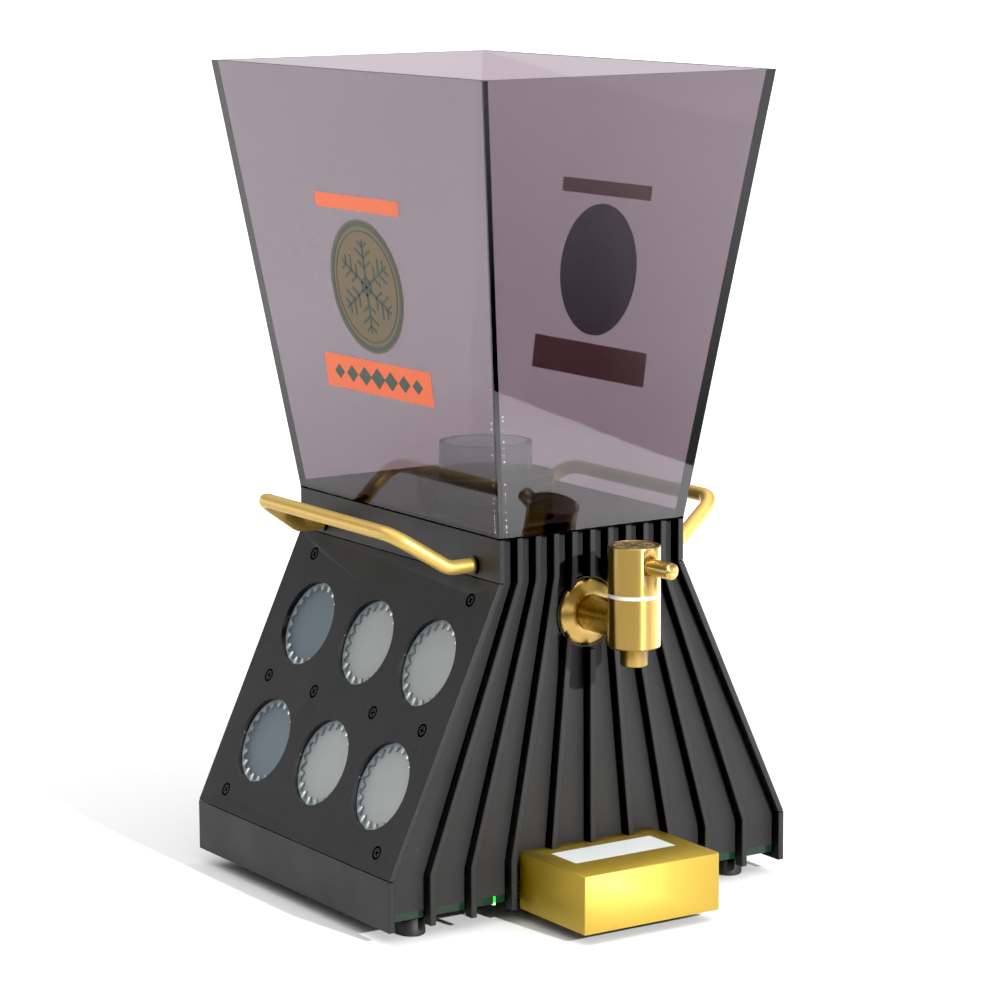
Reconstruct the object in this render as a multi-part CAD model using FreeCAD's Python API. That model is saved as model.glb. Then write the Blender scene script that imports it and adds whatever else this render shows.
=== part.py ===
import FreeCAD, Part
import math
import os

# Lit drinks dispenser: a smoked, open-topped ice tank on a ribbed, flared base, with a
# quarter-turn tap, a gold glass stand, two carrying handles and six lamps in each side.
#
# Millimetres, +Z up, front (tap) towards -Y. The origin lies on the surface that the feet
# rest on, below the centre of the rectangle that the whole part covers.

V = FreeCAD.Vector
X_AXIS = V(1, 0, 0)
Y_AXIS = V(0, 1, 0)
Z_AXIS = V(0, 0, 1)

# --- Base -----------------------------------------------------------------------------
base_depth = 230.0            # rib fronts to rib backs
foot_width = 287.0            # across the two skirts
crown_width = 132.0           # across the two top bands
base_top_z = 232.3
crown_bottom_z = 206.8        # the slopes end here
skirt_top_z = 40.0            # the slopes start here
skirt_bottom_z = 9.0
sheet = 3.8                   # side sheets, ribs and face plates
seam = 0.4                    # open joint between neighbouring side sheets
rib_depth = 7.0               # how far the ribs stand out of the face plates
rib_count = 9                 # on each face, between the two side sheets
edge_break = 0.4              # small chamfer on visible sheet edges
floor_plate_z = 13.0          # underside of the base plate
floor_plate = 4.5
deck_plate = 3.8
foot_radius = 8.0
foot_inset_x = 27.5           # foot centre from the skirt's outside
foot_inset_y = 20.0           # foot centre from the rib fronts
foot_chamfer = 0.8
foot_stem_radius = 3.0
fit_gap = 0.2                 # around a plate that drops in between others

# --- Lamp panels ----------------------------------------------------------------------
lamp_rows = 2
lamp_shift_y = -2.0           # middle of the lamp columns, from the middle of the base
lamp_shift_s = 3.2            # middle of the lamp rows, from the middle of the slope
window_radius = 27.0
lens_gap_y = 10.7             # between the lenses of neighbouring columns
lens_gap_s = 18.4             # between the lenses of neighbouring rows
lens_lip = 2.5                # lens flange beyond the window
lens_flange = 2.0
lens_raise = 1.0              # fluted rim standing into the window
lens_play = 0.3               # between that rim and the window
flute_count = 20
flute_outer = 25.6
flute_inner = 22.4
cup_wall = 2.0
cup_depth = 16.0              # panel back to tray
tray_plate = 3.0
tray_margin = 8.0
board_plate = 1.6
board_margin = 12.0
lamp_dome_radius = 5.0
lamp_dome_height = 4.0
panel_screw_radius = 1.6
panel_screw_head = 3.25
panel_screw_sink = 1.65
panel_screw_length = 12.0
screw_boss_radius = 4.5
screw_side_y = 20.9           # outer screw columns, beyond the outer lamp columns
screw_top_s = 13.9            # top screw row, from the panel's top edge
screw_bottom_s = 12.9         # bottom screw row, from the panel's bottom edge

# --- Tank and bottle socket -----------------------------------------------------------
tank_top_z = 500.5
tank_rim_width = 203.6
tank_rim_depth = 312.5
tank_wall = 5.0
tank_floor = 5.0
gasket = 1.0
gasket_band = 9.0
collar_radius = 40.5
collar_height = 13.3
neck_radius = 26.9
neck_wall = 3.0
neck_height = 32.9
outlet_bore = 5.0
outlet_shank = 9.0
outlet_flange_radius = 16.0
outlet_flange = 2.5
outlet_nut_radius = 14.0
outlet_nut = 6.0
barb_radius = 6.5
barb_length = 12.0
hose_wall = 2.0
hose_bend = 28.0
hose_play = 0.05

# --- Tap ------------------------------------------------------------------------------
tap_reach = 42.0              # rib fronts to the tap's upright axis
tap_radius = 15.5
tap_bottom_z = 169.0
tap_ring_z = 199.0
tap_ring = 2.2
tap_top_z = 229.4
tap_axis_z = 182.0            # level of the inlet tube
inlet_radius = 10.8
spout_radius = 8.2
spout_bottom_z = 157.8
spout_bore = 5.0
water_bore = 3.5
rosette_radius = 20.2
rosette_neck = 12.4
rosette_rim = 1.0
rosette_height = 4.6
backing_radius = 21.4
backing_disc = 1.2
rib_pocket_radius = 22.0      # ribs are cut back around the rosette
shank_radius = 8.0
shank_length = 14.0           # inside the face plate
tap_nut_radius = 13.0
tap_nut = 7.0
tap_play = 0.1
tap_chamfer = 1.0
plug_radius = 6.0
plug_play = 0.05
plug_bottom_z = 173.0
port_radius = 3.0
stem_radius = 4.0
stem_reach = 12.0             # stem length inside the knob
knob_gap = 0.15
knob_rim = 1.8
knob_recess = 0.5
lever_radius = 4.9
lever_length = 33.9           # from the tap's axis
lever_seat = 9.0              # inner end of the lever from the tap's axis
lever_z = 218.4
lever_rest_angle = 5.0        # from straight forward, towards +X
lever_open_angle = 90.0       # from straight forward, towards +X, valve fully open

# --- Handles --------------------------------------------------------------------------
handle_radius = 4.4
handle_z = 213.7
handle_inset_y = 27.5         # handle ends from the rib fronts and rib backs
handle_root = 17.4            # level run out of the top band
handle_reach = 49.6           # grip centre from the top band
handle_step_y = 9.1           # grip ends inboard of the handle ends
handle_rise = 21.3
handle_root_bend = 12.0
handle_grip_bend = 14.0
washer_radius = 5.6
washer = 1.4
handle_screw_radius = 2.4
handle_screw_depth = 9.0
handle_screw_head = 5.0
handle_screw_head_height = 3.5

# --- Glass stand ----------------------------------------------------------------------
stand_width = 96.6
stand_reach = 61.2            # rib fronts to the stand's front
stand_bottom_z = 7.2
stand_top_z = 42.2
stand_wall = 3.0
stand_chamfer = 0.6
stand_notch_play = 0.5
window_width = 72.0
window_depth = 26.5
window_centre_y = 20.8        # in front of the ribs
window_lip = 2.0
window_flange = 1.5
stand_cover = 2.5
stand_post = 14.0
post_radius = 3.0
chip_radius = 2.5
chip_height = 1.5

# --- Power ----------------------------------------------------------------------------
power_z = 30.0                # switch and charging inlet on the back face
power_share = 0.3             # their place between the centre and the side sheet
switch_width = 14.0
switch_height = 20.0
switch_bezel = 1.5
switch_body_depth = 15.0
switch_lip = 1.0
switch_wall = 1.5
rocker_play = 0.35
rocker_axle = 1.5
rocker_throw = 16.0           # degrees from off to on
rocker_depth = 4.5
rocker_foot = 4.0             # half width of its underside
rocker_sink = 0.8
rocker_pin = 1.0
inlet_bezel_radius = 6.5
inlet_body_radius = 5.5
inlet_body_depth = 14.0
inlet_pin_bore = 2.75
inlet_pin_depth = 10.0
inlet_pin = 0.9
battery_length = 120.0
battery_width = 70.0
battery_height = 26.0
battery_corner = 3.0
board_length = 80.0
board_width = 40.0
board_post = 6.0
board_gap = 8.0               # between battery and control board
chip_size = 12.0
chip_thickness = 4.0
pilot_x = -66.5               # power-on lamp in the front edge of the base plate
pilot_width = 1.6
pilot_depth = 6.0
pilot_drop = 0.8              # its lower end stands below the plate

# --- Worked-out places ----------------------------------------------------------------
half_foot = foot_width / 2
half_crown = crown_width / 2
slope_angle = math.atan2(half_foot - half_crown, crown_bottom_z - skirt_top_z)
slope_length = math.hypot(half_foot - half_crown, crown_bottom_z - skirt_top_z)
lens_radius = window_radius + lens_lip
lamp_pitch_y = 2 * lens_radius + lens_gap_y
lamp_pitch_s = 2 * lens_radius + lens_gap_s
lamp_room = base_depth - 2 * (rib_depth + sheet + cup_wall + 2 * fit_gap + abs(lamp_shift_y))
lamp_columns = int((lamp_room + lens_gap_y) / lamp_pitch_y)   # as many as fit between the face plates
lamp_centre_s = slope_length / 2 + lamp_shift_s
lever_front = tap_reach + lever_length * math.cos(math.radians(lever_rest_angle))
lever_front += lever_radius * math.sin(math.radians(lever_rest_angle))
tank_back = base_depth + (tank_rim_depth - base_depth) / 2
front_y = (lever_front - tank_back) / 2           # rib fronts
back_y = front_y + base_depth                     # rib backs
middle_y = (front_y + back_y) / 2
face_y = front_y + rib_depth                      # skin of the front plate
inner_y = face_y + sheet
back_face_y = back_y - rib_depth
back_inner_y = back_face_y - sheet
floor_top_z = floor_plate_z + floor_plate
deck_bottom_z = base_top_z - deck_plate
tank_bottom_z = base_top_z + gasket
tank_floor_z = tank_bottom_z + tank_floor
tap_y = front_y - tap_reach
hose_radius = barb_radius + hose_play + hose_wall
outlet_barb_z = deck_bottom_z - outlet_nut - barb_length
inlet_barb_y = inner_y + shank_length + barb_length
stand_front_y = front_y - stand_reach
stand_window_y = front_y - window_centre_y
lamp_line_y = middle_y + lamp_shift_y
knob_bottom_z = tap_ring_z + tap_ring + knob_gap
power_x = half_foot * power_share


# --- Small helpers --------------------------------------------------------------------
def box(x0, x1, y0, y1, z0, z1):
    """Block between two opposite corners."""
    return Part.makeBox(x1 - x0, y1 - y0, z1 - z0, V(x0, y0, z0))


def rod(start, axis, radius, length):
    """Solid cylinder."""
    return Part.makeCylinder(radius, length, start, axis)


def ring(start, axis, outer, inner, length):
    """Cylinder with a hole through it."""
    return rod(start, axis, outer, length).cut(rod(start, axis, inner, length))


def hex_nut(start, axis, radius, bore, length):
    """Hexagonal nut, made round its own axis and turned into place."""
    corners = []
    for index in range(7):
        angle = math.radians(60 * index)
        corners.append(V(radius * math.cos(angle), radius * math.sin(angle), 0))
    nut = Part.Face(Part.makePolygon(corners)).extrude(V(0, 0, length))
    nut = nut.cut(rod(V(0, 0, 0), Z_AXIS, bore, length))
    nut.Placement = FreeCAD.Placement(start, FreeCAD.Rotation(Z_AXIS, axis))
    return nut


def slab(outline, y0, y1):
    """Plate with an outline of (x, z) points, standing from y0 to y1."""
    points = [V(x, y0, z) for x, z in outline]
    points.append(points[0])
    return Part.Face(Part.makePolygon(points)).extrude(V(0, y1 - y0, 0))


def turned(profile, centre):
    """Solid of revolution about an upright axis, from (radius, z) points."""
    points = [V(centre.x + radius, centre.y, z) for radius, z in profile]
    points.append(points[0])
    return Part.Face(Part.makePolygon(points)).revolve(centre, Z_AXIS, 360)


def turned_level(profile, centre):
    """Solid of revolution about a level axis along Y, from (radius, y) points."""
    points = [V(centre.x, y, centre.z + radius) for radius, y in profile]
    points.append(points[0])
    return Part.Face(Part.makePolygon(points)).revolve(centre, Y_AXIS, 360)


def joined(solids):
    """One solid from several that overlap or share faces."""
    result = solids[0]
    for other in solids[1:]:
        result = result.fuse(other)
    return result.removeSplitter()


def mirrored(shape):
    """The same piece on the other side."""
    return shape.mirror(V(0, 0, 0), X_AXIS)


def both_sides(solids):
    """A list of solids and their mirror images."""
    return solids + [mirrored(solid) for solid in solids]


def broken_edges(solid, at_y):
    """The solid with a small chamfer round its face at one y."""
    edges = []
    for edge in solid.Edges:
        if all(abs(vertex.Y - at_y) < 1e-6 for vertex in edge.Vertexes):
            edges.append(edge)
    return solid.makeChamfer(edge_break, edges)


def shifted(path, distance):
    """A path of (x, z) points moved to its right by distance, with mitred corners."""
    normals = []
    for (x0, z0), (x1, z1) in zip(path, path[1:]):
        length = math.hypot(x1 - x0, z1 - z0)
        normals.append(((z1 - z0) / length, (x0 - x1) / length))
    normals = [normals[0]] + normals + [normals[-1]]
    result = []
    for (x, z), (ax, az), (bx, bz) in zip(path, normals, normals[1:]):
        scale = distance / (1 + ax * bx + az * bz)
        result.append((x + (ax + bx) * scale, z + (az + bz) * scale))
    return result


def band(path, width):
    """Outline of an even band centred on a path of (x, z) points."""
    return shifted(path, width / 2) + shifted(path, -width / 2)[::-1]


def write(name, shape):
    """One file for each sub-part."""
    shape.exportStep("parts/" + name + ".step")


def write_pair(name, shape):
    """A right-hand sub-part and its mirror image on the left."""
    write("right_" + name, shape)
    write("left_" + name, mirrored(shape))


# --- Base -----------------------------------------------------------------------------
side_path = [
    (half_foot, skirt_bottom_z),
    (half_foot, skirt_top_z),
    (half_crown, crown_bottom_z),
    (half_crown, base_top_z),
]


def rib_path(place):
    """Middle line of a rib: place 0 is the centre, 1 is the middle of the side sheet."""
    return [(x * place, z) for x, z in shifted(side_path, -sheet / 2)]


def rib_places():
    """Ribs stand at even intervals between the side sheets."""
    steps = rib_count + 1
    return [2 * index / steps - 1 for index in range(1, steps)]


def face_outline():
    """Outline of the front and back plates, between the side sheets and on the base plate."""
    side = shifted(side_path, -sheet)
    side[0] = (side[0][0], floor_top_z)
    return side + [(-x, z) for x, z in reversed(side)]


def tap_centre(y):
    """Point on the axis of the tap's inlet."""
    return V(0, y, tap_axis_z)


def make_front_plate():
    plate = slab(face_outline(), face_y, inner_y)
    plate = plate.cut(rod(tap_centre(face_y - 1), Y_AXIS, shank_radius + tap_play, sheet + 2))
    return plate


def make_back_plate():
    plate = slab(face_outline(), back_inner_y, back_face_y)
    plate = plate.cut(switch_block(0, back_inner_y - 1, back_face_y + 1))
    hole = rod(V(-power_x, back_inner_y - 1, power_z), Y_AXIS, inlet_body_radius, sheet + 2)
    return plate.cut(hole)


def make_front_rib(place):
    """A rib of the front face, cut back where the tap's rosette seats on the plate."""
    rib = broken_edges(slab(band(rib_path(place), sheet), front_y, face_y), front_y)
    pocket = rod(tap_centre(front_y - 1), Y_AXIS, rib_pocket_radius, rib_depth + 2)
    return rib.cut(pocket)


def make_back_rib(place):
    """A rib of the back face."""
    return broken_edges(slab(band(rib_path(place), sheet), back_face_y, back_y), back_y)


def side_sheet(index):
    """Skirt, lamp panel or top band of the right side, with a half seam at each joint."""
    last = len(side_path) - 2
    outline = []
    for path in (side_path, shifted(side_path, -sheet)):
        (x0, z0), (x1, z1) = path[index], path[index + 1]
        length = math.hypot(x1 - x0, z1 - z0)
        low = seam / 2 / length if index > 0 else 0
        high = 1 - seam / 2 / length if index < last else 1
        ends = [(x0 + (x1 - x0) * share, z0 + (z1 - z0) * share) for share in (low, high)]
        outline.append(ends)
    outer, inner = outline
    solid = slab(outer + inner[::-1], front_y, back_y)
    return broken_edges(broken_edges(solid, front_y), back_y)


def make_deck():
    """Plate that carries the tank, level with the top of the ribs."""
    half = half_crown - sheet
    deck = box(-half, half, inner_y, back_inner_y, deck_bottom_z, base_top_z)
    hole = rod(V(0, middle_y, deck_bottom_z - 1), Z_AXIS, outlet_shank + fit_gap, deck_plate + 2)
    return deck.cut(hole)


def pilot_block(bottom_z):
    """Upright bar set into the front edge of the base plate."""
    half = pilot_width / 2
    end_y = face_y + pilot_depth
    return box(pilot_x - half, pilot_x + half, face_y, end_y, bottom_z, floor_top_z)


def make_base_plate():
    half = half_foot - sheet
    plate = box(-half, half, face_y, back_face_y, floor_plate_z, floor_top_z)
    for x, y in foot_places():
        plate = plate.cut(rod(V(x, y, floor_plate_z), Z_AXIS, foot_stem_radius, floor_plate))
    return plate.cut(pilot_block(floor_plate_z))


def foot_places():
    """Centres of the four feet."""
    x = half_foot - foot_inset_x
    ys = (front_y + foot_inset_y, back_y - foot_inset_y)
    return [(side * x, y) for side in (-1, 1) for y in ys]


def make_foot(x, y):
    """Rubber foot with a stem pressed into the base plate."""
    return turned([
        (0, 0),
        (foot_radius - foot_chamfer, 0),
        (foot_radius, foot_chamfer),
        (foot_radius, floor_plate_z),
        (foot_stem_radius, floor_plate_z),
        (foot_stem_radius, floor_top_z),
        (0, floor_top_z),
    ], V(x, y, 0))


# --- Lamp panels ----------------------------------------------------------------------
slope_out = V(math.cos(slope_angle), 0, math.sin(slope_angle))


def on_slope(s, y, height):
    """Point on the right side: s down the slope, height out of the lamp panel's skin."""
    x = half_crown + s * math.sin(slope_angle) + height * math.cos(slope_angle)
    z = crown_bottom_z - s * math.cos(slope_angle) + height * math.sin(slope_angle)
    return V(x, y, z)


def slope_block(s0, s1, y0, y1, low, high):
    """Plate parallel to the right lamp panel, between two heights over its skin."""
    corners = [on_slope(s, 0, h) for s, h in ((s0, low), (s1, low), (s1, high), (s0, high))]
    return slab([(corner.x, corner.z) for corner in corners], y0, y1)


def slope_rod(place, low, high, radius):
    """Cylinder square to the lamp panel, between two heights over its skin."""
    s, y = place
    return rod(on_slope(s, y, low), slope_out, radius, high - low)


def lamp_places():
    """Centres of the lamps as (s, y)."""
    places = []
    for row in range(lamp_rows):
        for column in range(lamp_columns):
            s = lamp_centre_s + (row - (lamp_rows - 1) / 2) * lamp_pitch_s
            y = lamp_line_y + (column - (lamp_columns - 1) / 2) * lamp_pitch_y
            places.append((s, y))
    return places


def screw_places():
    """Centres of the panel screws as (s, y)."""
    reach = (lamp_columns - 1) / 2 * lamp_pitch_y
    places = []
    for s in (screw_top_s, lamp_centre_s, slope_length - screw_bottom_s):
        places.append((s, lamp_line_y - reach - screw_side_y))
        places.append((s, lamp_line_y + reach + screw_side_y))
    for gap in range(lamp_columns - 1):
        places.append((lamp_centre_s, lamp_line_y - reach + (gap + 0.5) * lamp_pitch_y))
    return places


def screw_cone(place):
    """Countersunk head, flush with the panel."""
    s, y = place
    start = on_slope(s, y, -panel_screw_sink)
    return Part.makeCone(panel_screw_radius, panel_screw_head, panel_screw_sink, start, slope_out)


def make_lamp_panel():
    panel = side_sheet(1)
    for place in lamp_places():
        panel = panel.cut(slope_rod(place, -sheet - 1, 1, window_radius))
    for place in screw_places():
        panel = panel.cut(screw_cone(place))
        panel = panel.cut(slope_rod(place, -sheet - 1, 0, panel_screw_radius + fit_gap))
    return panel


def make_panel_screw(place):
    shank = slope_rod(place, -panel_screw_length, -panel_screw_sink, panel_screw_radius)
    return joined([shank, screw_cone(place)])


def make_lens(place):
    """Frosted disc behind the panel, with a rim, fluted inside, that stands into the window."""
    s, y = place
    flange = slope_rod(place, -sheet - lens_flange, -sheet, lens_radius)
    rim = slope_rod(place, -sheet, -sheet + lens_raise, window_radius - lens_play)
    flutes = []
    for index in range(2 * flute_count + 1):
        angle = math.pi * index / flute_count
        radius = flute_inner if index % 2 else flute_outer
        flutes.append(V(radius * math.cos(angle), radius * math.sin(angle), 0))
    well = Part.Face(Part.makePolygon(flutes)).extrude(V(0, 0, lens_raise))
    turn = FreeCAD.Rotation(Z_AXIS, slope_out)
    well.Placement = FreeCAD.Placement(on_slope(s, y, -sheet), turn)
    return joined([flange, rim.cut(well)])


def make_lamp_tray():
    """Moulded carrier behind the lamp panel: a cup for each lamp and a boss for each screw."""
    low = -sheet - cup_depth
    y0 = inner_y + fit_gap
    y1 = back_inner_y - fit_gap
    tray = slope_block(tray_margin, slope_length - tray_margin, y0, y1, low - tray_plate, low)
    cup_radius = lens_radius + fit_gap + cup_wall
    posts = [slope_rod(place, low, -sheet, cup_radius) for place in lamp_places()]
    posts += [slope_rod(place, low, -sheet, screw_boss_radius) for place in screw_places()]
    tray = joined([tray] + posts)
    for place in lamp_places():
        tray = tray.cut(slope_rod(place, low, -sheet, window_radius))
        tray = tray.cut(slope_rod(place, -sheet - lens_flange, -sheet, lens_radius + fit_gap))
        tray = tray.cut(slope_rod(place, low - tray_plate, low, lamp_dome_radius + fit_gap))
    for place in screw_places():
        tray = tray.cut(slope_rod(place, -panel_screw_length, -sheet, panel_screw_radius))
    return tray


def make_led_board():
    """Circuit board behind the tray, with one lamp dome in each cup."""
    top = -sheet - cup_depth - tray_plate
    s_values = [s for s, y in lamp_places()]
    y_values = [y for s, y in lamp_places()]
    s0 = min(s_values) - board_margin
    s1 = max(s_values) + board_margin
    y0 = min(y_values) - board_margin
    y1 = max(y_values) + board_margin
    board = slope_block(s0, s1, y0, y1, top - board_plate, top)
    dome_top = top + tray_plate + lamp_dome_height
    domes = [slope_rod(place, top, dome_top, lamp_dome_radius) for place in lamp_places()]
    return joined([board] + domes)


# --- Tank and bottle socket -----------------------------------------------------------
def tank_corners(z, inset):
    """Corners of the tank at height z, counter-clockwise from front left, as (x, y)."""
    share = (z - tank_bottom_z) / (tank_top_z - tank_bottom_z)
    flare_x = (tank_rim_width - crown_width) / 2
    flare_y = (tank_rim_depth - base_depth) / 2
    height = tank_top_z - tank_bottom_z
    x = half_crown + flare_x * share - inset * math.hypot(1, flare_x / height)
    y = base_depth / 2 + flare_y * share - inset * math.hypot(1, flare_y / height)
    return [(-x, middle_y - y), (x, middle_y - y), (x, middle_y + y), (-x, middle_y + y)]


def flat_sided(lower, upper, z0, z1):
    """Solid between two outlines of (x, y) points with flat faces in between."""
    low = [V(x, y, z0) for x, y in lower]
    high = [V(x, y, z1) for x, y in upper]
    faces = [Part.Face(Part.makePolygon(low + low[:1]))]
    faces.append(Part.Face(Part.makePolygon(high + high[:1])))
    for index in range(len(low)):
        after = (index + 1) % len(low)
        loop = [low[index], low[after], high[after], high[index], low[index]]
        faces.append(Part.Face(Part.makePolygon(loop)))
    return Part.Solid(Part.Shell(faces))


def make_tank_wall(index):
    """One leaning wall of the tank, mitred to its neighbours; index 0 is the front."""
    after = (index + 1) % 4
    outlines = []
    for z in (tank_bottom_z, tank_top_z):
        outer = tank_corners(z, 0)
        inner = tank_corners(z, tank_wall)
        outlines.append([outer[index], outer[after], inner[after], inner[index]])
    return flat_sided(outlines[0], outlines[1], tank_bottom_z, tank_top_z)


def make_tank_floor():
    lower = tank_corners(tank_bottom_z, tank_wall)
    upper = tank_corners(tank_floor_z, tank_wall)
    plate = flat_sided(lower, upper, tank_bottom_z, tank_floor_z)
    hole = rod(V(0, middle_y, tank_bottom_z - 1), Z_AXIS, outlet_shank + fit_gap, tank_floor + 2)
    return plate.cut(hole)


def make_gasket():
    """Black seal between the base and the tank."""
    y0 = front_y
    y1 = back_y
    seal = box(-half_crown, half_crown, y0, y1, base_top_z, tank_bottom_z)
    inside = half_crown - gasket_band
    hole = box(-inside, inside, y0 + gasket_band, y1 - gasket_band, base_top_z, tank_bottom_z)
    return seal.cut(hole)


def make_collar():
    """Clear lower ring of the bottle socket."""
    bore = neck_radius + fit_gap / 2
    return ring(V(0, middle_y, tank_floor_z), Z_AXIS, collar_radius, bore, collar_height)


def make_neck():
    """Clear upper tube of the bottle socket."""
    bore = neck_radius - neck_wall
    return ring(V(0, middle_y, tank_floor_z), Z_AXIS, neck_radius, bore, neck_height)


def make_outlet():
    """Flanged spigot in the socket's floor, with a hose barb below the deck."""
    nut_z = deck_bottom_z - outlet_nut
    return turned([
        (outlet_bore, tank_floor_z + outlet_flange),
        (outlet_flange_radius, tank_floor_z + outlet_flange),
        (outlet_flange_radius, tank_floor_z),
        (outlet_shank, tank_floor_z),
        (outlet_shank, nut_z),
        (barb_radius, nut_z),
        (barb_radius, outlet_barb_z),
        (outlet_bore, outlet_barb_z),
    ], V(0, middle_y, 0))


def make_outlet_nut():
    start = V(0, middle_y, deck_bottom_z - outlet_nut)
    return hex_nut(start, Z_AXIS, outlet_nut_radius, outlet_shank, outlet_nut)


def hose_solid(radius):
    """Hose route as a solid of one radius: down, round a quarter bend, level to the tap."""
    top = V(0, middle_y, deck_bottom_z - outlet_nut)
    bend_z = tap_axis_z + hose_bend
    bend_start = V(0, middle_y, bend_z)
    bend_centre = V(0, middle_y - hose_bend, bend_z)
    end_y = inner_y + shank_length
    disc = Part.Face(Part.Wire(Part.makeCircle(radius, bend_start, Z_AXIS)))
    bend = disc.revolve(bend_centre, V(-1, 0, 0), 90)
    drop = rod(bend_start, Z_AXIS, radius, top.z - bend_z)
    level = rod(tap_centre(end_y), Y_AXIS, radius, middle_y - hose_bend - end_y)
    return joined([drop, bend, level])


def make_hose():
    return hose_solid(hose_radius).cut(hose_solid(barb_radius + hose_play))


# --- Tap ------------------------------------------------------------------------------
tap_axis = V(0, tap_y, 0)
seat_y = face_y - backing_disc      # the rosette and the inlet tube seat here


def make_tap_body():
    """Tap body in one piece with its spout, inlet tube, threaded shank and hose barb."""
    edge = tap_chamfer
    upright = turned([
        (0, spout_bottom_z),
        (spout_radius - edge, spout_bottom_z),
        (spout_radius, spout_bottom_z + edge),
        (spout_radius, tap_bottom_z),
        (tap_radius - edge, tap_bottom_z),
        (tap_radius, tap_bottom_z + edge),
        (tap_radius, tap_ring_z),
        (0, tap_ring_z),
    ], tap_axis)
    level = turned_level([
        (0, tap_y),
        (inlet_radius, tap_y),
        (inlet_radius, seat_y),
        (shank_radius, seat_y),
        (shank_radius, inner_y + shank_length),
        (barb_radius, inner_y + shank_length),
        (barb_radius, inlet_barb_y),
        (0, inlet_barb_y),
    ], tap_centre(0))
    body = joined([upright, level])
    plug_height = tap_ring_z - plug_bottom_z
    chamber = rod(V(0, tap_y, plug_bottom_z), Z_AXIS, plug_radius + plug_play, plug_height)
    outlet = rod(V(0, tap_y, spout_bottom_z), Z_AXIS, spout_bore, plug_bottom_z - spout_bottom_z)
    inlet = rod(tap_centre(tap_y), Y_AXIS, water_bore, inlet_barb_y - tap_y)
    return body.cut(chamber).cut(outlet).cut(inlet)


def make_rosette():
    """Shallow cone that covers the inlet's hole in the front plate."""
    bore = inlet_radius + tap_play
    return turned_level([
        (bore, seat_y),
        (rosette_radius, seat_y),
        (rosette_radius, seat_y - rosette_rim),
        (rosette_neck, seat_y - rosette_height),
        (bore, seat_y - rosette_height),
    ], tap_centre(0))


def make_backing():
    """Black disc between the rosette and the front plate."""
    return ring(tap_centre(seat_y), Y_AXIS, backing_radius, shank_radius + tap_play, backing_disc)


def make_tap_ring():
    """White washer between the tap's body and its knob; it also holds the plug down."""
    start = V(0, tap_y, tap_ring_z)
    return ring(start, Z_AXIS, tap_radius, stem_radius + tap_play, tap_ring)


def lever_direction():
    angle = math.radians(lever_rest_angle)
    return V(math.sin(angle), -math.cos(angle), 0)


def lever_point(distance):
    """Point on the lever's axis, at a distance from the tap's axis."""
    return V(0, tap_y, lever_z) + lever_direction() * distance


def make_knob():
    """Turning head of the tap, with a shallow round field in its top."""
    edge = tap_chamfer / 2
    field = tap_radius - knob_rim
    knob = turned([
        (0, knob_bottom_z),
        (tap_radius, knob_bottom_z),
        (tap_radius, tap_top_z - edge),
        (tap_radius - edge, tap_top_z),
        (field, tap_top_z),
        (field, tap_top_z - knob_recess),
        (0, tap_top_z - knob_recess),
    ], tap_axis)
    socket = rod(V(0, tap_y, knob_bottom_z), Z_AXIS, stem_radius, stem_reach)
    return knob.cut(socket).cut(make_lever())


def make_lever():
    """Pin that turns the knob, square to the tap's axis."""
    direction = lever_direction()
    pin = rod(lever_point(lever_seat), direction, lever_radius, lever_length - lever_seat)
    tip = lever_point(lever_length)
    edges = [edge for edge in pin.Edges if (edge.CenterOfMass - tip).Length < lever_radius / 2]
    return pin.makeChamfer(edge_break, edges)


def make_spindle():
    """Valve plug and stem: its side port meets the inlet when the lever is fully open."""
    top = V(0, tap_y, tap_ring_z - plug_play)
    bottom = V(0, tap_y, plug_bottom_z + plug_play)
    plug = rod(bottom, Z_AXIS, plug_radius, top.z - bottom.z)
    stem = rod(top, Z_AXIS, stem_radius, knob_bottom_z + stem_reach - top.z)
    spindle = joined([plug, stem])
    turn = math.radians(90 - (lever_open_angle - lever_rest_angle))
    side = V(math.cos(turn), math.sin(turn), 0)
    spindle = spindle.cut(rod(tap_centre(tap_y), side, port_radius, plug_radius + 1))
    return spindle.cut(rod(bottom, Z_AXIS, port_radius, tap_axis_z - bottom.z))


def make_tap_nut():
    return hex_nut(tap_centre(inner_y), Y_AXIS, tap_nut_radius, shank_radius, tap_nut)


# --- Handles --------------------------------------------------------------------------
def rounded_wire(points, radii):
    """Straight runs joined by tangent arcs, one radius for each inner point."""
    edges = []
    start = points[0]
    for index, radius in enumerate(radii):
        corner = points[index + 1]
        back = (points[index] - corner).normalize()
        ahead = (points[index + 2] - corner).normalize()
        half = back.getAngle(ahead) / 2
        reach = radius / math.tan(half)
        first = corner + back * reach
        last = corner + ahead * reach
        inward = (back + ahead).normalize()
        middle = corner + inward * (radius / math.sin(half) - radius)
        edges.append(Part.LineSegment(start, first).toShape())
        edges.append(Part.Arc(first, middle, last).toShape())
        start = last
    edges.append(Part.LineSegment(start, points[-1]).toShape())
    return Part.Wire(edges)


def handle_ends():
    """The y of a handle's two ends."""
    return front_y + handle_inset_y, back_y - handle_inset_y


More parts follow.
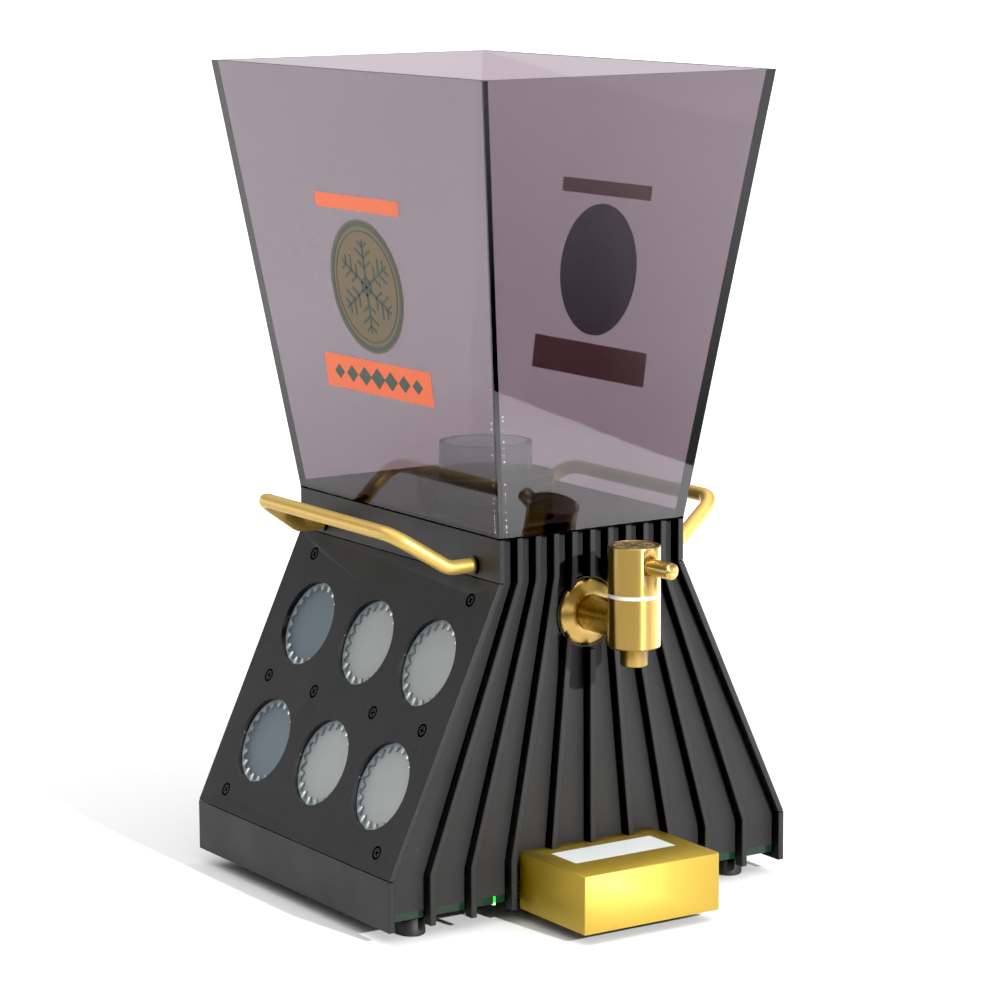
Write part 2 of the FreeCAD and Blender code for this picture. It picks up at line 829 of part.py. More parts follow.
def make_handle():
    """Bent rod: level out of the top band, up and inboard to a straight grip, and back."""
    y0, y1 = handle_ends()
    skin = half_crown + washer
    root = half_crown + handle_root
    grip = half_crown + handle_reach
    grip_z = handle_z + handle_rise
    route = [
        V(skin, y0, handle_z),
        V(root, y0, handle_z),
        V(grip, y0 + handle_step_y, grip_z),
        V(grip, y1 - handle_step_y, grip_z),
        V(root, y1, handle_z),
        V(skin, y1, handle_z),
    ]
    bends = [handle_root_bend, handle_grip_bend, handle_grip_bend, handle_root_bend]
    section = Part.Wire(Part.makeCircle(handle_radius, route[0], X_AXIS))
    bar = rounded_wire(route, bends).makePipeShell([section], True, True)
    for y in (y0, y1):
        start = V(skin, y, handle_z)
        bar = bar.cut(rod(start, X_AXIS, handle_screw_radius, handle_screw_depth))
    return bar


def make_handle_fixings():
    """Washers under the handle ends, and screws from inside the top bands into the ends."""
    fixings = []
    for y in handle_ends():
        skin = V(half_crown, y, handle_z)
        fixings.append(ring(skin, X_AXIS, washer_radius, handle_screw_radius, washer))
        inside = V(half_crown - sheet, y, handle_z)
        length = sheet + washer + handle_screw_depth
        shank = rod(inside, X_AXIS, handle_screw_radius, length)
        head = rod(inside, V(-1, 0, 0), handle_screw_head, handle_screw_head_height)
        fixings.append(joined([shank, head]))
    return both_sides(fixings)


def make_top_band():
    top_band = side_sheet(2)
    for y in handle_ends():
        start = V(half_crown - sheet - 1, y, handle_z)
        top_band = top_band.cut(rod(start, X_AXIS, handle_screw_radius, sheet + 2))
    return top_band


# --- Glass stand ----------------------------------------------------------------------
def stand_block():
    """Outer form of the stand, with its front, side and top edges broken."""
    half = stand_width / 2
    block = box(-half, half, stand_front_y, face_y, stand_bottom_z, stand_top_z)
    edges = []
    for edge in block.Edges:
        middle = edge.CenterOfMass
        if middle.y < face_y - 1e-6 and middle.z > stand_bottom_z + 1e-6:
            edges.append(edge)
    return block.makeChamfer(stand_chamfer, edges)


def stand_inside(play):
    """Limits of the stand's hollow as x, y0, y1, less a gap all round."""
    x = stand_width / 2 - stand_wall - play
    y0 = stand_front_y + stand_wall + play
    y1 = front_y - stand_notch_play - stand_wall - play
    return x, y0, y1


def make_stand_shell():
    """Gold box, open below, notched at the back to fit round the ribs."""
    x, y0, y1 = stand_inside(0)
    roof_z = stand_top_z - stand_wall
    shell = stand_block().cut(box(-x, x, y0, y1, stand_bottom_z, roof_z))
    notch_front = front_y - stand_notch_play
    for place in rib_places():
        if abs(rib_path(place)[0][0]) < stand_width / 2 + sheet:
            outline = band(rib_path(place), sheet + 2 * stand_notch_play)
            shell = shell.cut(slab(outline, notch_front, face_y))
    half = window_width / 2
    front = stand_window_y - window_depth / 2
    back = stand_window_y + window_depth / 2
    return shell.cut(box(-half, half, front, back, roof_z, stand_top_z))


def make_stand_window():
    """White diffuser, flush with the stand's top and held by a flange below it."""
    roof_z = stand_top_z - stand_wall
    half = window_width / 2 - fit_gap
    depth = window_depth / 2 - fit_gap
    y = stand_window_y
    pane = box(-half, half, y - depth, y + depth, roof_z, stand_top_z)
    half = window_width / 2 + window_lip
    depth = window_depth / 2 + window_lip
    flange = box(-half, half, y - depth, y + depth, roof_z - window_flange, roof_z)
    return joined([pane, flange])


def make_stand_cover():
    """Bottom cover of the stand, with four posts for its lamp board."""
    x, y0, y1 = stand_inside(fit_gap)
    top = stand_bottom_z + stand_cover
    cover = [box(-x, x, y0, y1, stand_bottom_z, top)]
    for px, py in stand_posts():
        cover.append(rod(V(px, py, top), Z_AXIS, post_radius, stand_post))
    return joined(cover)


def stand_posts():
    """Centres of the four posts under the stand's lamp board."""
    x = window_width / 2 - post_radius
    y = window_depth / 2 - post_radius
    return [(i * x, stand_window_y + j * y) for i in (-1, 1) for j in (-1, 1)]


def make_stand_board():
    """Lamp board under the stand's window."""
    z = stand_bottom_z + stand_cover + stand_post
    half = window_width / 2
    depth = window_depth / 2
    y = stand_window_y
    board = [box(-half, half, y - depth, y + depth, z, z + board_plate)]
    for index in (-1, 0, 1):
        start = V(index * window_width / 3, y, z + board_plate)
        board.append(rod(start, Z_AXIS, chip_radius, chip_height))
    return joined(board)


# --- Power ----------------------------------------------------------------------------
def switch_block(margin, y0, y1):
    """Upright block round the switch's centre, wider than its body by a margin."""
    x = switch_width / 2 + margin
    z = switch_height / 2 + margin
    return box(power_x - x, power_x + x, y0, y1, power_z - z, power_z + z)


rocker_centre = V(power_x, back_face_y + switch_bezel - rocker_sink, power_z)


def make_switch_housing():
    """Snap-in body of the rocker switch, with a hollow for the rocker."""
    bezel = switch_block(switch_lip, back_face_y, back_face_y + switch_bezel)
    body = switch_block(0, back_face_y - switch_body_depth, back_face_y)
    housing = joined([bezel, body])
    hollow_y = rocker_centre.y - math.hypot(rocker_depth, rocker_foot) - rocker_play
    housing = housing.cut(switch_block(-switch_wall, hollow_y, back_y))
    axle = V(power_x - switch_width / 2, rocker_centre.y, power_z)
    return housing.cut(rod(axle, X_AXIS, rocker_axle + plug_play, switch_width))


def make_rocker():
    """Rocker with a shallow valley in its face, at rest with its lower half level."""
    half_x = switch_width / 2 - switch_wall - rocker_play
    half_z = switch_height / 2 - switch_wall - rocker_play
    tilt = math.radians(rocker_throw / 2)
    end = rocker_sink + half_z * math.tan(tilt)
    outline = [
        (0, rocker_sink),
        (half_z, end),
        (half_z, 0),
        (rocker_foot, -rocker_depth),
        (-rocker_foot, -rocker_depth),
        (-half_z, 0),
        (-half_z, end),
    ]
    points = []
    for z, out in outline:
        y = rocker_centre.y + out * math.cos(tilt) + z * math.sin(tilt)
        points.append(V(power_x - half_x, y, power_z + z * math.cos(tilt) - out * math.sin(tilt)))
    points.append(points[0])
    rocker = Part.Face(Part.makePolygon(points)).extrude(V(2 * half_x, 0, 0))
    axle_half = half_x + rocker_play + rocker_pin
    axle = rod(rocker_centre - V(axle_half, 0, 0), X_AXIS, rocker_axle, 2 * axle_half)
    return joined([rocker, axle])


def make_charge_inlet():
    """Round low-voltage socket with a centre pin."""
    skin = V(-power_x, back_face_y, power_z)
    bezel = rod(skin, Y_AXIS, inlet_bezel_radius, switch_bezel)
    body = rod(skin, V(0, -1, 0), inlet_body_radius, inlet_body_depth)
    socket = joined([bezel, body])
    mouth = skin + V(0, switch_bezel, 0)
    socket = socket.cut(rod(mouth, V(0, -1, 0), inlet_pin_bore, inlet_pin_depth))
    pin_start = mouth - V(0, inlet_pin_depth, 0)
    return joined([socket, rod(pin_start, Y_AXIS, inlet_pin, inlet_pin_depth - switch_bezel)])


def make_battery():
    x = battery_length / 2
    y = battery_width / 2
    top = floor_top_z + battery_height
    pack = box(-x, x, middle_y - y, middle_y + y, floor_top_z, top)
    upright = [edge for edge in pack.Edges if abs(edge.tangentAt(0).z) > 0.5]
    return pack.makeFillet(battery_corner, upright)


def make_control_board():
    """Driver board on four short posts, behind the battery."""
    x = board_length / 2
    y0 = middle_y + battery_width / 2 + board_gap
    y1 = y0 + board_width
    z = floor_top_z + board_post
    pieces = [box(-x, x, y0, y1, z, z + board_plate)]
    for px in (-x + board_margin, x - board_margin):
        for py in (y0 + board_margin / 2, y1 - board_margin / 2):
            pieces.append(rod(V(px, py, floor_top_z), Z_AXIS, post_radius, board_post))
    chip = chip_size / 2
    chip_z = z + board_plate
    middle = (y0 + y1) / 2
    pieces.append(box(-chip, chip, middle - chip, middle + chip, chip_z, chip_z + chip_thickness))
    return joined(pieces)


# --- Sub-parts ------------------------------------------------------------------------
os.makedirs("parts", exist_ok=True)

write("front_plate", make_front_plate())
write("back_plate", make_back_plate())
for number, place in enumerate(rib_places(), 1):
    write("front_rib_" + str(number), make_front_rib(place))
write("back_ribs", Part.makeCompound([make_back_rib(place) for place in rib_places()]))
write("top_deck", make_deck())
write("base_plate", make_base_plate())
write("feet", Part.makeCompound([make_foot(x, y) for x, y in foot_places()]))

write_pair("skirt", side_sheet(0))
write_pair("lamp_panel", make_lamp_panel())
write_pair("top_band", make_top_band())
write_pair("lenses", Part.makeCompound([make_lens(place) for place in lamp_places()]))
write_pair("lamp_tray", make_lamp_tray())
write_pair("led_board", make_led_board())
panel_screws = [make_panel_screw(place) for place in screw_places()]
write("panel_screws", Part.makeCompound(both_sides(panel_screws)))

for index, name in enumerate(("front", "right", "back", "left")):
    write("tank_" + name + "_wall", make_tank_wall(index))
write("tank_floor", make_tank_floor())
write("tank_gasket", make_gasket())
write("bottle_collar", make_collar())
write("bottle_neck", make_neck())
write("outlet_fitting", make_outlet())
write("outlet_nut", make_outlet_nut())
write("supply_hose", make_hose())

write("tap_body", make_tap_body())
write("tap_rosette", make_rosette())
write("tap_backing", make_backing())
write("tap_ring", make_tap_ring())
write("tap_knob", make_knob())
write("tap_lever", make_lever())
write("tap_spindle", make_spindle())
write("tap_nut", make_tap_nut())

write_pair("handle", make_handle())
write("handle_fixings", Part.makeCompound(make_handle_fixings()))

write("stand_shell", make_stand_shell())
write("stand_window", make_stand_window())
write("stand_cover", make_stand_cover())
write("stand_board", make_stand_board())

write("switch_housing", make_switch_housing())
write("switch_rocker", make_rocker())
write("charge_inlet", make_charge_inlet())
write("pilot_lamp", pilot_block(floor_plate_z - pilot_drop))
write("battery_pack", make_battery())
write("control_board", make_control_board())
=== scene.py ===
import math
import random

import bmesh
import bpy
from bpy.props import FloatProperty, FloatVectorProperty, IntProperty, PointerProperty
from mathutils import Matrix, Vector


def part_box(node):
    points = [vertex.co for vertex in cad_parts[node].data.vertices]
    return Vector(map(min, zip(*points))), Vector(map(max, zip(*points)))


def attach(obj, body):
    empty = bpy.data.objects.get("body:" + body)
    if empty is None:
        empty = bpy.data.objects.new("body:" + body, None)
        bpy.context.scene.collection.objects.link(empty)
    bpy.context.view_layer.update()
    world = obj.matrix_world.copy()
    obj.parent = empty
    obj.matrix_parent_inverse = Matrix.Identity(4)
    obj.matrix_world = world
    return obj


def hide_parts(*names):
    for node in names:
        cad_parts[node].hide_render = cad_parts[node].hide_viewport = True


bl_info = {
    "name": "Party Shot Dispenser",
    "version": (1, 0, 0),
    "blender": (4, 5, 0),
    "location": "View3D > Sidebar > Dispenser",
    "description": "Finishes, small pieces and studio of a lit tabletop drinks dispenser",
    "category": "Object",
}

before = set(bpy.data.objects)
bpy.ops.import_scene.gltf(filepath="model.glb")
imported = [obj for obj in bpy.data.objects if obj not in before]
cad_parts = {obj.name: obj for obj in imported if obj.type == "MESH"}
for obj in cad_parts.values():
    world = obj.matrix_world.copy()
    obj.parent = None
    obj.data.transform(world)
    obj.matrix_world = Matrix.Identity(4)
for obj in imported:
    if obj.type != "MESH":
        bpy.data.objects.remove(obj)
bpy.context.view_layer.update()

MM = 0.001
WELD = 0.002 * MM             # corners closer than this are one corner
LEVEL = 0.05 * MM             # corners within this height lie on one level
WHITE = (1, 1, 1, 1)
CREASE = math.radians(35)     # edges bent more than this stay sharp
OUTWARD = 0.9                 # least cosine to a direction of a face that looks that way
SIDES = ("left", "right")
MIX_FACTOR, MIX_A, MIX_B = 0, 6, 7    # sockets of a colour Mix node
MIX_COLOUR = 2


# --- Sizes and colours that a user would change ---------------------------------------
def linear(hex_colour):
    """Linear colour of an sRGB hex value."""
    channels = []
    for start in (1, 3, 5):
        value = int(hex_colour[start:start + 2], 16) / 255
        channels.append(value / 12.92 if value <= 0.04045 else ((value + 0.055) / 1.055) ** 2.4)
    return channels


def rgba(colour):
    """A hex value or a linear colour with full opacity, as shader sockets take it."""
    return (*(linear(colour) if isinstance(colour, str) else colour), 1.0)


def shade(colour, factor):
    """A linear colour made darker or paler by a factor."""
    return [channel * factor for channel in colour]


def length(name, description, millimetres):
    return FloatProperty(
        name=name, description=description, default=millimetres * MM, min=0.0, unit="LENGTH"
    )


def colour(name, description, hex_colour):
    return FloatVectorProperty(
        name=name, description=description, default=linear(hex_colour), size=3,
        min=0.0, max=1.0, subtype="COLOR",
    )


class DispenserSizes(bpy.types.PropertyGroup):
    """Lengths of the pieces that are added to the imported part."""

    mitre_gap: length("Mitre gap", "Air left in the glued corner joints of the tank", 0.04)
    edge_break: length("Edge break", "Chamfer on the edges of cut sheets", 0.25)
    badge_width: length("Badge", "Diameter of the round badge on the tank's sides", 82.0)
    badge_height: length("Badge height", "Centre of the badge above the floor", 371.0)
    foil: length("Foil", "Thickness of the printed foils", 0.12)
    upper_bar_width: length("Upper bar", "Width of the orange bar above the badge", 96.0)
    upper_bar_height: length("Upper bar height", "Height of the orange bar above the badge", 9.0)
    lower_bar_width: length("Lower bar", "Width of the orange bar below the badge", 122.0)
    lower_bar_height: length("Lower bar height", "Height of the orange bar below the badge", 21.0)
    bar_gap: length("Bar gap", "Clear wall between the badge and each bar", 5.0)
    lens_radius: length("Lens", "Radius of a lamp lens with its flange", 29.5)
    lens_flange: length("Lens flange", "Thickness of the flange behind the panel", 2.0)
    lens_well: length("Lens well", "Depth of the frosted face below the rim", 1.3)
    flute_outer: length("Flute roots", "Radius to the roots of the flutes", 25.4)
    flute_inner: length("Flute tips", "Radius to the tips of the flutes", 21.8)
    flute_count: IntProperty(name="Flutes", description="Flutes round a lens", default=20, min=3)
    recess_depth: length("Recess depth", "Depth of the cross in a panel screw", 1.1)
    screw_play: length("Screw play", "Gap round the head of a panel screw", 0.3)
    screw_sink: length("Screw sink", "How far a panel screw lies below the panel", 0.05)
    # painted shade: a black ring on the panel round each screw head
    screw_shade_radius: length("Screw seat", "Outer radius of the dark ring round a panel screw", 4.2)
    mark_length: length("Lead-in mark", "Length of the cutter's mark in a window", 2.4)
    bubble: length("Bubble", "Largest radius of a bubble in the glue of the tank", 0.45)
    bubble_count: IntProperty(name="Bubbles", description="Bubbles in a glued corner", default=36)


class DispenserColours(bpy.types.PropertyGroup):
    """Colours of the finishes."""

    sheet: colour("Sheet", "Satin acrylic sheets of the base", "#202020")
    tap_gold: colour("Tap gold", "Turned gold pieces of the tap", "#bc9a4c")
    handle_gold: colour("Handle gold", "Satin gold carrying bars", "#d3b263")
    stand_gold: colour("Stand gold", "Brushed gold glass stand", "#b59940")
    badge_bronze: colour("Bronze foil", "Ground of the badge", "#68532d")
    badge_green: colour("Green ink", "Print on the badge and the bar", "#2c4436")
    bar_orange: colour("Orange foil", "Bars above and below the badge", "#f0641e")
    lens: colour("Lens", "Frosted lamp lenses", "#9b9f9e")
    # painted shade: the rearmost lenses are drawn darker and bluer
    shaded_back_lens: colour("Back lens", "Lamp lenses of the rearmost columns", "#5f6a72")


def sizes():
    return bpy.context.scene.dispenser_sizes


def colours():
    return bpy.context.scene.dispenser_colours


# --- Mesh helpers ---------------------------------------------------------------------
def solid_of(node):
    """A node's solids as one mesh with its doubled corners merged."""
    shape = bmesh.new()
    shape.from_mesh(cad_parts[node].data)
    bmesh.ops.remove_doubles(shape, verts=shape.verts, dist=WELD)
    return shape


def loose_parts(shape):
    """The separate solids of a mesh, each as a list of its corners."""
    left = set(shape.verts)
    parts = []
    while left:
        part = [left.pop()]
        for vertex in part:
            for edge in vertex.link_edges:
                other = edge.other_vert(vertex)
                if other in left:
                    left.remove(other)
                    part.append(other)
        parts.append(part)
    return parts


def break_edges(shape, width):
    """Chamfers the sharp edges of a solid, whose flat faces are first made whole."""
    flat, sharp = math.radians(0.5), math.radians(40)
    bmesh.ops.dissolve_limit(shape, angle_limit=flat, verts=shape.verts, edges=shape.edges)
    edges = [edge for edge in shape.edges if edge.is_manifold and edge.calc_face_angle() > sharp]
    bmesh.ops.bevel(
        shape, geom=edges, offset=width, offset_type="OFFSET", affect="EDGES",
        segments=1, profile=0.5, material=-1, clamp_overlap=False,
    )


def new_corners(made):
    """The corners among what an extrusion made."""
    return [part for part in made["geom"] if isinstance(part, bmesh.types.BMVert)]


def centre_of(node):
    """Middle of a node's box."""
    low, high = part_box(node)
    return (low + high) / 2


def new_object(name, shape, *finishes):
    """Makes an object of the shape, with a finish for each material index."""
    mesh = bpy.data.meshes.new(name)
    shape.to_mesh(mesh)
    shape.free()
    for finish in finishes:
        mesh.materials.append(finish)
    made = bpy.data.objects.new(name, mesh)
    bpy.context.scene.collection.objects.link(made)
    return made


def add_piece(name, shape, body, finish, slot=None, stands_for=(), crease=CREASE):
    """Makes a piece that rides on a body, of one finish, or of one for each index."""
    piece = new_object(name, shape, *(finish if isinstance(finish, list) else [finish]))
    piece.data.shade_smooth()
    piece.data.set_sharp_from_angle(angle=crease)
    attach(piece, body)
    if stands_for:
        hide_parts(*stands_for)


def dress(finish, *nodes):
    """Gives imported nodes, which keep their shape, a finish."""
    for node in nodes:
        for material_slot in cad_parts[node].material_slots:
            material_slot.material = finish


def polished_copy(node, body, finish, slot, chamfer=None, crease=CREASE):
    """The node's shape with smooth curves, and with its edges broken by a chamfer, in its place."""
    shape = solid_of(node)
    if chamfer:
        break_edges(shape, chamfer)
    add_piece(f"{node}_finished", shape, body, finish, slot, [node], crease)


# --- Finishes -------------------------------------------------------------------------
def plug(tree, value, socket):
    """Gives a socket a value, or links another node's output to it."""
    if isinstance(value, bpy.types.NodeSocket):
        tree.links.new(value, socket)
    else:
        socket.default_value = value


def add_node(tree, kind, inputs=None, **settings):
    """Adds a node with its settings; inputs gives each socket a value or another's output."""
    node = tree.nodes.new(kind)
    for setting, value in settings.items():
        setattr(node, setting, value)
    for socket, value in (inputs or {}).items():
        plug(tree, value, node.inputs[socket])
    return node


def finish(name):
    """Makes a material once, named for what it is and how it was made."""
    def decorate(build):
        def get():
            material = bpy.data.materials.get(name)
            if material is None:
                material = bpy.data.materials.new(name)
                material.use_nodes = True
                add_node(material.node_tree, "ShaderNodeTexCoord")
                build(material.node_tree)
            return material
        return get
    return decorate


def own_place(tree):
    """Place in the object's own coordinates, which are the part's."""
    return tree.nodes["Texture Coordinate"].outputs["Object"]


def surface(tree, **values):
    """Sets sockets of the surface shader; base_color sets Base Color."""
    shader = tree.nodes["Principled BSDF"]
    for name, value in values.items():
        socket = name.replace("_", " ").title().replace("Ior", "IOR")
        plug(tree, value, shader.inputs[socket])


def mottle(tree, size, low, high):
    """Soft clouds of a size in metres, between two numbers or two colours."""
    cloud = add_node(tree, "ShaderNodeTexNoise", {
        "Vector": own_place(tree), "Scale": 1 / size, "Detail": 3.0, "Roughness": 0.55,
    }).outputs[0]
    if isinstance(low, float):
        return add_node(tree, "ShaderNodeMapRange", {
            "Value": cloud, "From Min": 0.3, "From Max": 0.7, "To Min": low, "To Max": high,
        }).outputs[0]
    return add_node(tree, "ShaderNodeMix", {
        MIX_FACTOR: cloud, MIX_A: rgba(low), MIX_B: rgba(high),
    }, data_type="RGBA").outputs[MIX_COLOUR]


def grain(tree, size, depth, stretch=(1, 1, 1), strength=1.0):
    """Bump of grains of a size and depth in metres; stretch draws them out along an axis."""
    drawn = add_node(tree, "ShaderNodeMapping", {"Vector": own_place(tree), "Scale": stretch})
    height = add_node(tree, "ShaderNodeTexNoise", {
        "Vector": drawn.outputs[0], "Scale": 1 / size, "Detail": 2.0, "Roughness": 0.6,
    }).outputs[0]
    return add_node(tree, "ShaderNodeBump", {
        "Strength": strength, "Distance": depth, "Height": height,
    }).outputs[0]


def tint_inside(tree, colour, density):
    """Takes more of each light the further it runs inside a clear piece."""
    tint = add_node(tree, "ShaderNodeVolumeAbsorption", {"Color": rgba(colour), "Density": density})
    tree.links.new(tint.outputs[0], tree.nodes["Material Output"].inputs["Volume"])


def layered(tree, level, steps):
    """A level to which each step adds, or which it multiplies: a step's number runs from low
    to high while its source runs from start to end."""
    for operation, source, start, end, low, high, *interpolation in steps:
        number = add_node(tree, "ShaderNodeMapRange", {
            "Value": source, "From Min": start, "From Max": end, "To Min": low, "To Max": high,
        })
        if interpolation:
            number.interpolation_type = interpolation[0]
        level = add_node(tree, "ShaderNodeMath", {0: level, 1: number.outputs[0]},
                         operation=operation).outputs[0]
    return level


@finish("cast_acrylic_smoked_and_polished")
def smoked_acrylic(tree):
    """Cast acrylic, violet smoke, polished: clear, mirror-smooth, and darker the further
    light runs in it, so edges and corners are nearly black."""
    surface(tree, base_color=WHITE, roughness=mottle(tree, 50 * MM, 0.0, 0.02),
            normal=grain(tree, 60 * MM, 0.004 * MM, strength=0.4),
            transmission_weight=1.0, ior=1.49)
    tint_inside(tree, (0.2, 0.08, 0.16), 214.0)


@finish("cast_acrylic_clear_turned")
def clear_acrylic(tree):
    """Cast acrylic, clear, turned and flame-polished: a faint blue-grey, with pale rims."""
    surface(tree, base_color=WHITE, roughness=mottle(tree, 10 * MM, 0.02, 0.06),
            transmission_weight=0.9, ior=1.49)
    tint_inside(tree, (0.0, 0.31, 0.3), 110.0)


@finish("acrylic_edge_sawn")
def sawn_edge(tree):
    """Sawn edge of smoked acrylic, left unpolished: matt and dark."""
    surface(tree, base_color=mottle(tree, 5 * MM, "#3a3740", "#56525c"), roughness=0.7, ior=1.49)


@finish("acrylic_sheet_charcoal_satin_laser_cut")
def charcoal_sheet(tree):
    """Extruded acrylic, satin face, laser-cut: charcoal with a fine pebble and pale dust."""
    sheet = colours().sheet
    tone = mottle(tree, 40 * MM, shade(sheet, 0.75), shade(sheet, 1.25))
    dust = add_node(tree, "ShaderNodeTexVoronoi", {"Vector": own_place(tree), "Scale": 1 / (12 * MM)})
    speck = add_node(tree, "ShaderNodeMapRange", {
        "Value": dust.outputs[0], "From Min": 0.02, "From Max": 0.035, "To Min": 1.0, "To Max": 0.0,
    }).outputs[0]
    dusty = add_node(tree, "ShaderNodeMix", {
        MIX_FACTOR: speck, MIX_A: tone, MIX_B: rgba("#5a5a58"),
    }, data_type="RGBA").outputs[MIX_COLOUR]
    # The real pebble is 0.3 mm; it is drawn at 0.8 mm so that it shows.
    surface(tree, base_color=dusty, roughness=mottle(tree, 30 * MM, 0.46, 0.54),
            normal=grain(tree, 0.8 * MM, 0.04 * MM), ior=1.49, specular_ior_level=0.35)


@finish("acrylic_sheet_dark_green_laser_cut")
def green_sheet(tree):
    """Cast acrylic, bottle green: black on its face, green where light runs into its edge."""
    surface(tree, base_color=mottle(tree, 20 * MM, "#0f1d15", "#1c3325"), roughness=0.2,
            normal=grain(tree, 1.2 * MM, 0.01 * MM), ior=1.49)


def golden(tree, gold, tone_size, dull, bright, metallic, normal):
    """Gold, uneven in tone over a size in metres, and in polish between dull and bright."""
    surface(tree, base_color=mottle(tree, tone_size, shade(gold, 0.92), gold),
            roughness=mottle(tree, 6 * MM, bright, dull), metallic=metallic, normal=normal)


def turned(tree, dull, bright, far_end, stretch):
    """Gold-plated brass with tool marks round an axis, which draw each light out along it;
    far_end lies on the axis."""
    # Tool marks lie 0.1 mm apart; they are drawn 0.5 mm apart so that they show.
    rings = grain(tree, 0.5 * MM, 0.03 * MM, stretch)
    golden(tree, colours().tap_gold, 20 * MM, dull, bright, 1.0, rings)
    along = add_node(tree, "ShaderNodeVectorMath", {0: own_place(tree), 1: far_end},
                     operation="SUBTRACT").outputs[0]
    surface(tree, tangent=along, anisotropic=0.88, coat_weight=1.0, coat_roughness=0.25)


@finish("brass_turned_upright_and_gold_plated")
def turned_gold(tree):
    """Brass turned on a lathe, gold-plated: fine level rings that spread each light upwards."""
    middle = centre_of("tap_knob")
    turned(tree, 0.35, 0.31, (middle.x, middle.y, -1.0), (0.02, 0.02, 1.0))


@finish("brass_turned_level_and_gold_plated")
def turned_level(tree):
    """The same brass turned about a level axis: rings that stand upright on the inlet."""
    middle = centre_of("tap_rosette")
    turned(tree, 0.30, 0.26, (middle.x, -1.0, middle.z), (0.02, 1.0, 0.02))


@finish("steel_bar_gold_lacquered_satin")
def satin_gold(tree):
    """Steel bar in satin gold lacquer, metal flakes in yellow: a soft, broad sheen."""
    flakes = grain(tree, 0.5 * MM, 0.012 * MM)
    golden(tree, colours().handle_gold, 30 * MM, 0.48, 0.42, 0.7, flakes)


@finish("aluminium_brushed_and_gold_lacquered")
def brushed_gold(tree):
    """Brushed aluminium in gold lacquer: level hairlines under an even, deep yellow."""
    hairlines = grain(tree, 0.5 * MM, 0.012 * MM, stretch=(0.02, 0.3, 1.0))
    golden(tree, colours().stand_gold, 20 * MM, 0.50, 0.46, 0.75, hairlines)


@finish("polycarbonate_moulded_and_frosted")
def frosted_lens(tree):
    """Polycarbonate with a frosted face: milky, with a faint cloud behind it; the lenses
    furthest to the back are painted darker and bluer, as painted shade."""
    lens = colours().lens
    depth = add_node(tree, "ShaderNodeSeparateXYZ", {"Vector": own_place(tree)}).outputs[1]
    back = add_node(tree, "ShaderNodeMapRange", {
        "Value": depth, "From Min": 0.035, "From Max": 0.065,
    }).outputs[0]
    tone = add_node(tree, "ShaderNodeMix", {
        MIX_FACTOR: back, MIX_A: mottle(tree, 30 * MM, shade(lens, 0.85), lens),
        MIX_B: rgba(colours().shaded_back_lens),
    }, data_type="RGBA").outputs[MIX_COLOUR]
    surface(tree, base_color=tone, normal=grain(tree, 0.8 * MM, 0.008 * MM),
            roughness=0.35, ior=1.58)


@finish("polycarbonate_clear_teeth_painted_glint_and_shade")
def lens_teeth(tree):
    """Clear polycarbonate teeth round a lens: grey-blue, with painted glints, white and faintly
    glowing, where they would catch light; the dark lines along their walls are painted shade."""
    painted_glint = add_node(tree, "ShaderNodeAttribute", attribute_name="painted_glint").outputs["Fac"]
    painted_shade_line = add_node(tree, "ShaderNodeAttribute", attribute_name="painted_shade_line").outputs["Fac"]
    tone = mottle(tree, 3 * MM, "#80898c", "#969ea0")
    for share, colour_there in ((painted_glint, WHITE), (painted_shade_line, rgba("#4a555b"))):
        tone = add_node(tree, "ShaderNodeMix", {
            MIX_FACTOR: share, MIX_A: tone, MIX_B: colour_there,
        }, data_type="RGBA").outputs[MIX_COLOUR]
    # painted glint: the marked teeth glow a little, though no lamp lights them
    glow = add_node(tree, "ShaderNodeMath", {0: painted_glint, 1: 0.4}, operation="MULTIPLY").outputs[0]
    surface(tree, base_color=tone, emission_color=WHITE, emission_strength=glow,
            roughness=0.12, ior=1.58)


@finish("opal_acrylic_lit_from_behind")
def lit_window(tree):
    """Opal acrylic over a lamp board: an even white glow, a touch cooler in its middle."""
    glow = mottle(tree, 40 * MM, "#c8cdcb", "#d2d6d4")
    surface(tree, base_color=glow, emission_color=glow, roughness=0.3, emission_strength=0.12)


@finish("light_guide_acrylic_green")
def green_guide(tree):
    """Green acrylic guide over a lamp: bright green with a white-hot lower end."""
    height = add_node(tree, "ShaderNodeSeparateXYZ", {"Vector": own_place(tree)}).outputs[2]
    low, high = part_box("pilot_lamp")
    share = add_node(tree, "ShaderNodeMapRange", {
        "Value": height, "From Min": low.z, "From Max": low.z + 0.35 * (high.z - low.z),
    }).outputs[0]
    glow = add_node(tree, "ShaderNodeMix", {
        MIX_FACTOR: share, MIX_A: rgba("#d8ffd8"), MIX_B: rgba("#18c030"),
    }, data_type="RGBA").outputs[MIX_COLOUR]
    surface(tree, base_color=glow, emission_color=glow, roughness=0.3, emission_strength=1.2)


@finish("rubber_moulded_black")
def black_rubber(tree):
    """Moulded rubber: matt black, with a faint dusty bloom."""
    surface(tree, base_color=mottle(tree, 6 * MM, "#0d0d0d", "#1a1a1a"), roughness=0.6,
            normal=grain(tree, 0.8 * MM, 0.03 * MM), ior=1.52)


@finish("epdm_foam_black_and_painted_shade")
def black_foam_and_painted_shade(tree):
    """Closed-cell EPDM foam of the gasket, also used as painted shade in gaps and recesses: a deep black
    that swallows light.
    """
    surface(tree, base_color=mottle(tree, 4 * MM, "#030303", "#080808"), roughness=0.9,
            specular_ior_level=0.1)


@finish("steel_screw_black_oxide")
def black_steel(tree):
    """Steel with black oxide: near black, with a dull glint on its worn rims."""
    surface(tree, base_color=mottle(tree, 2 * MM, "#242424", "#3c3c3c"), roughness=0.38,
            normal=grain(tree, 0.5 * MM, 0.01 * MM), metallic=0.7)


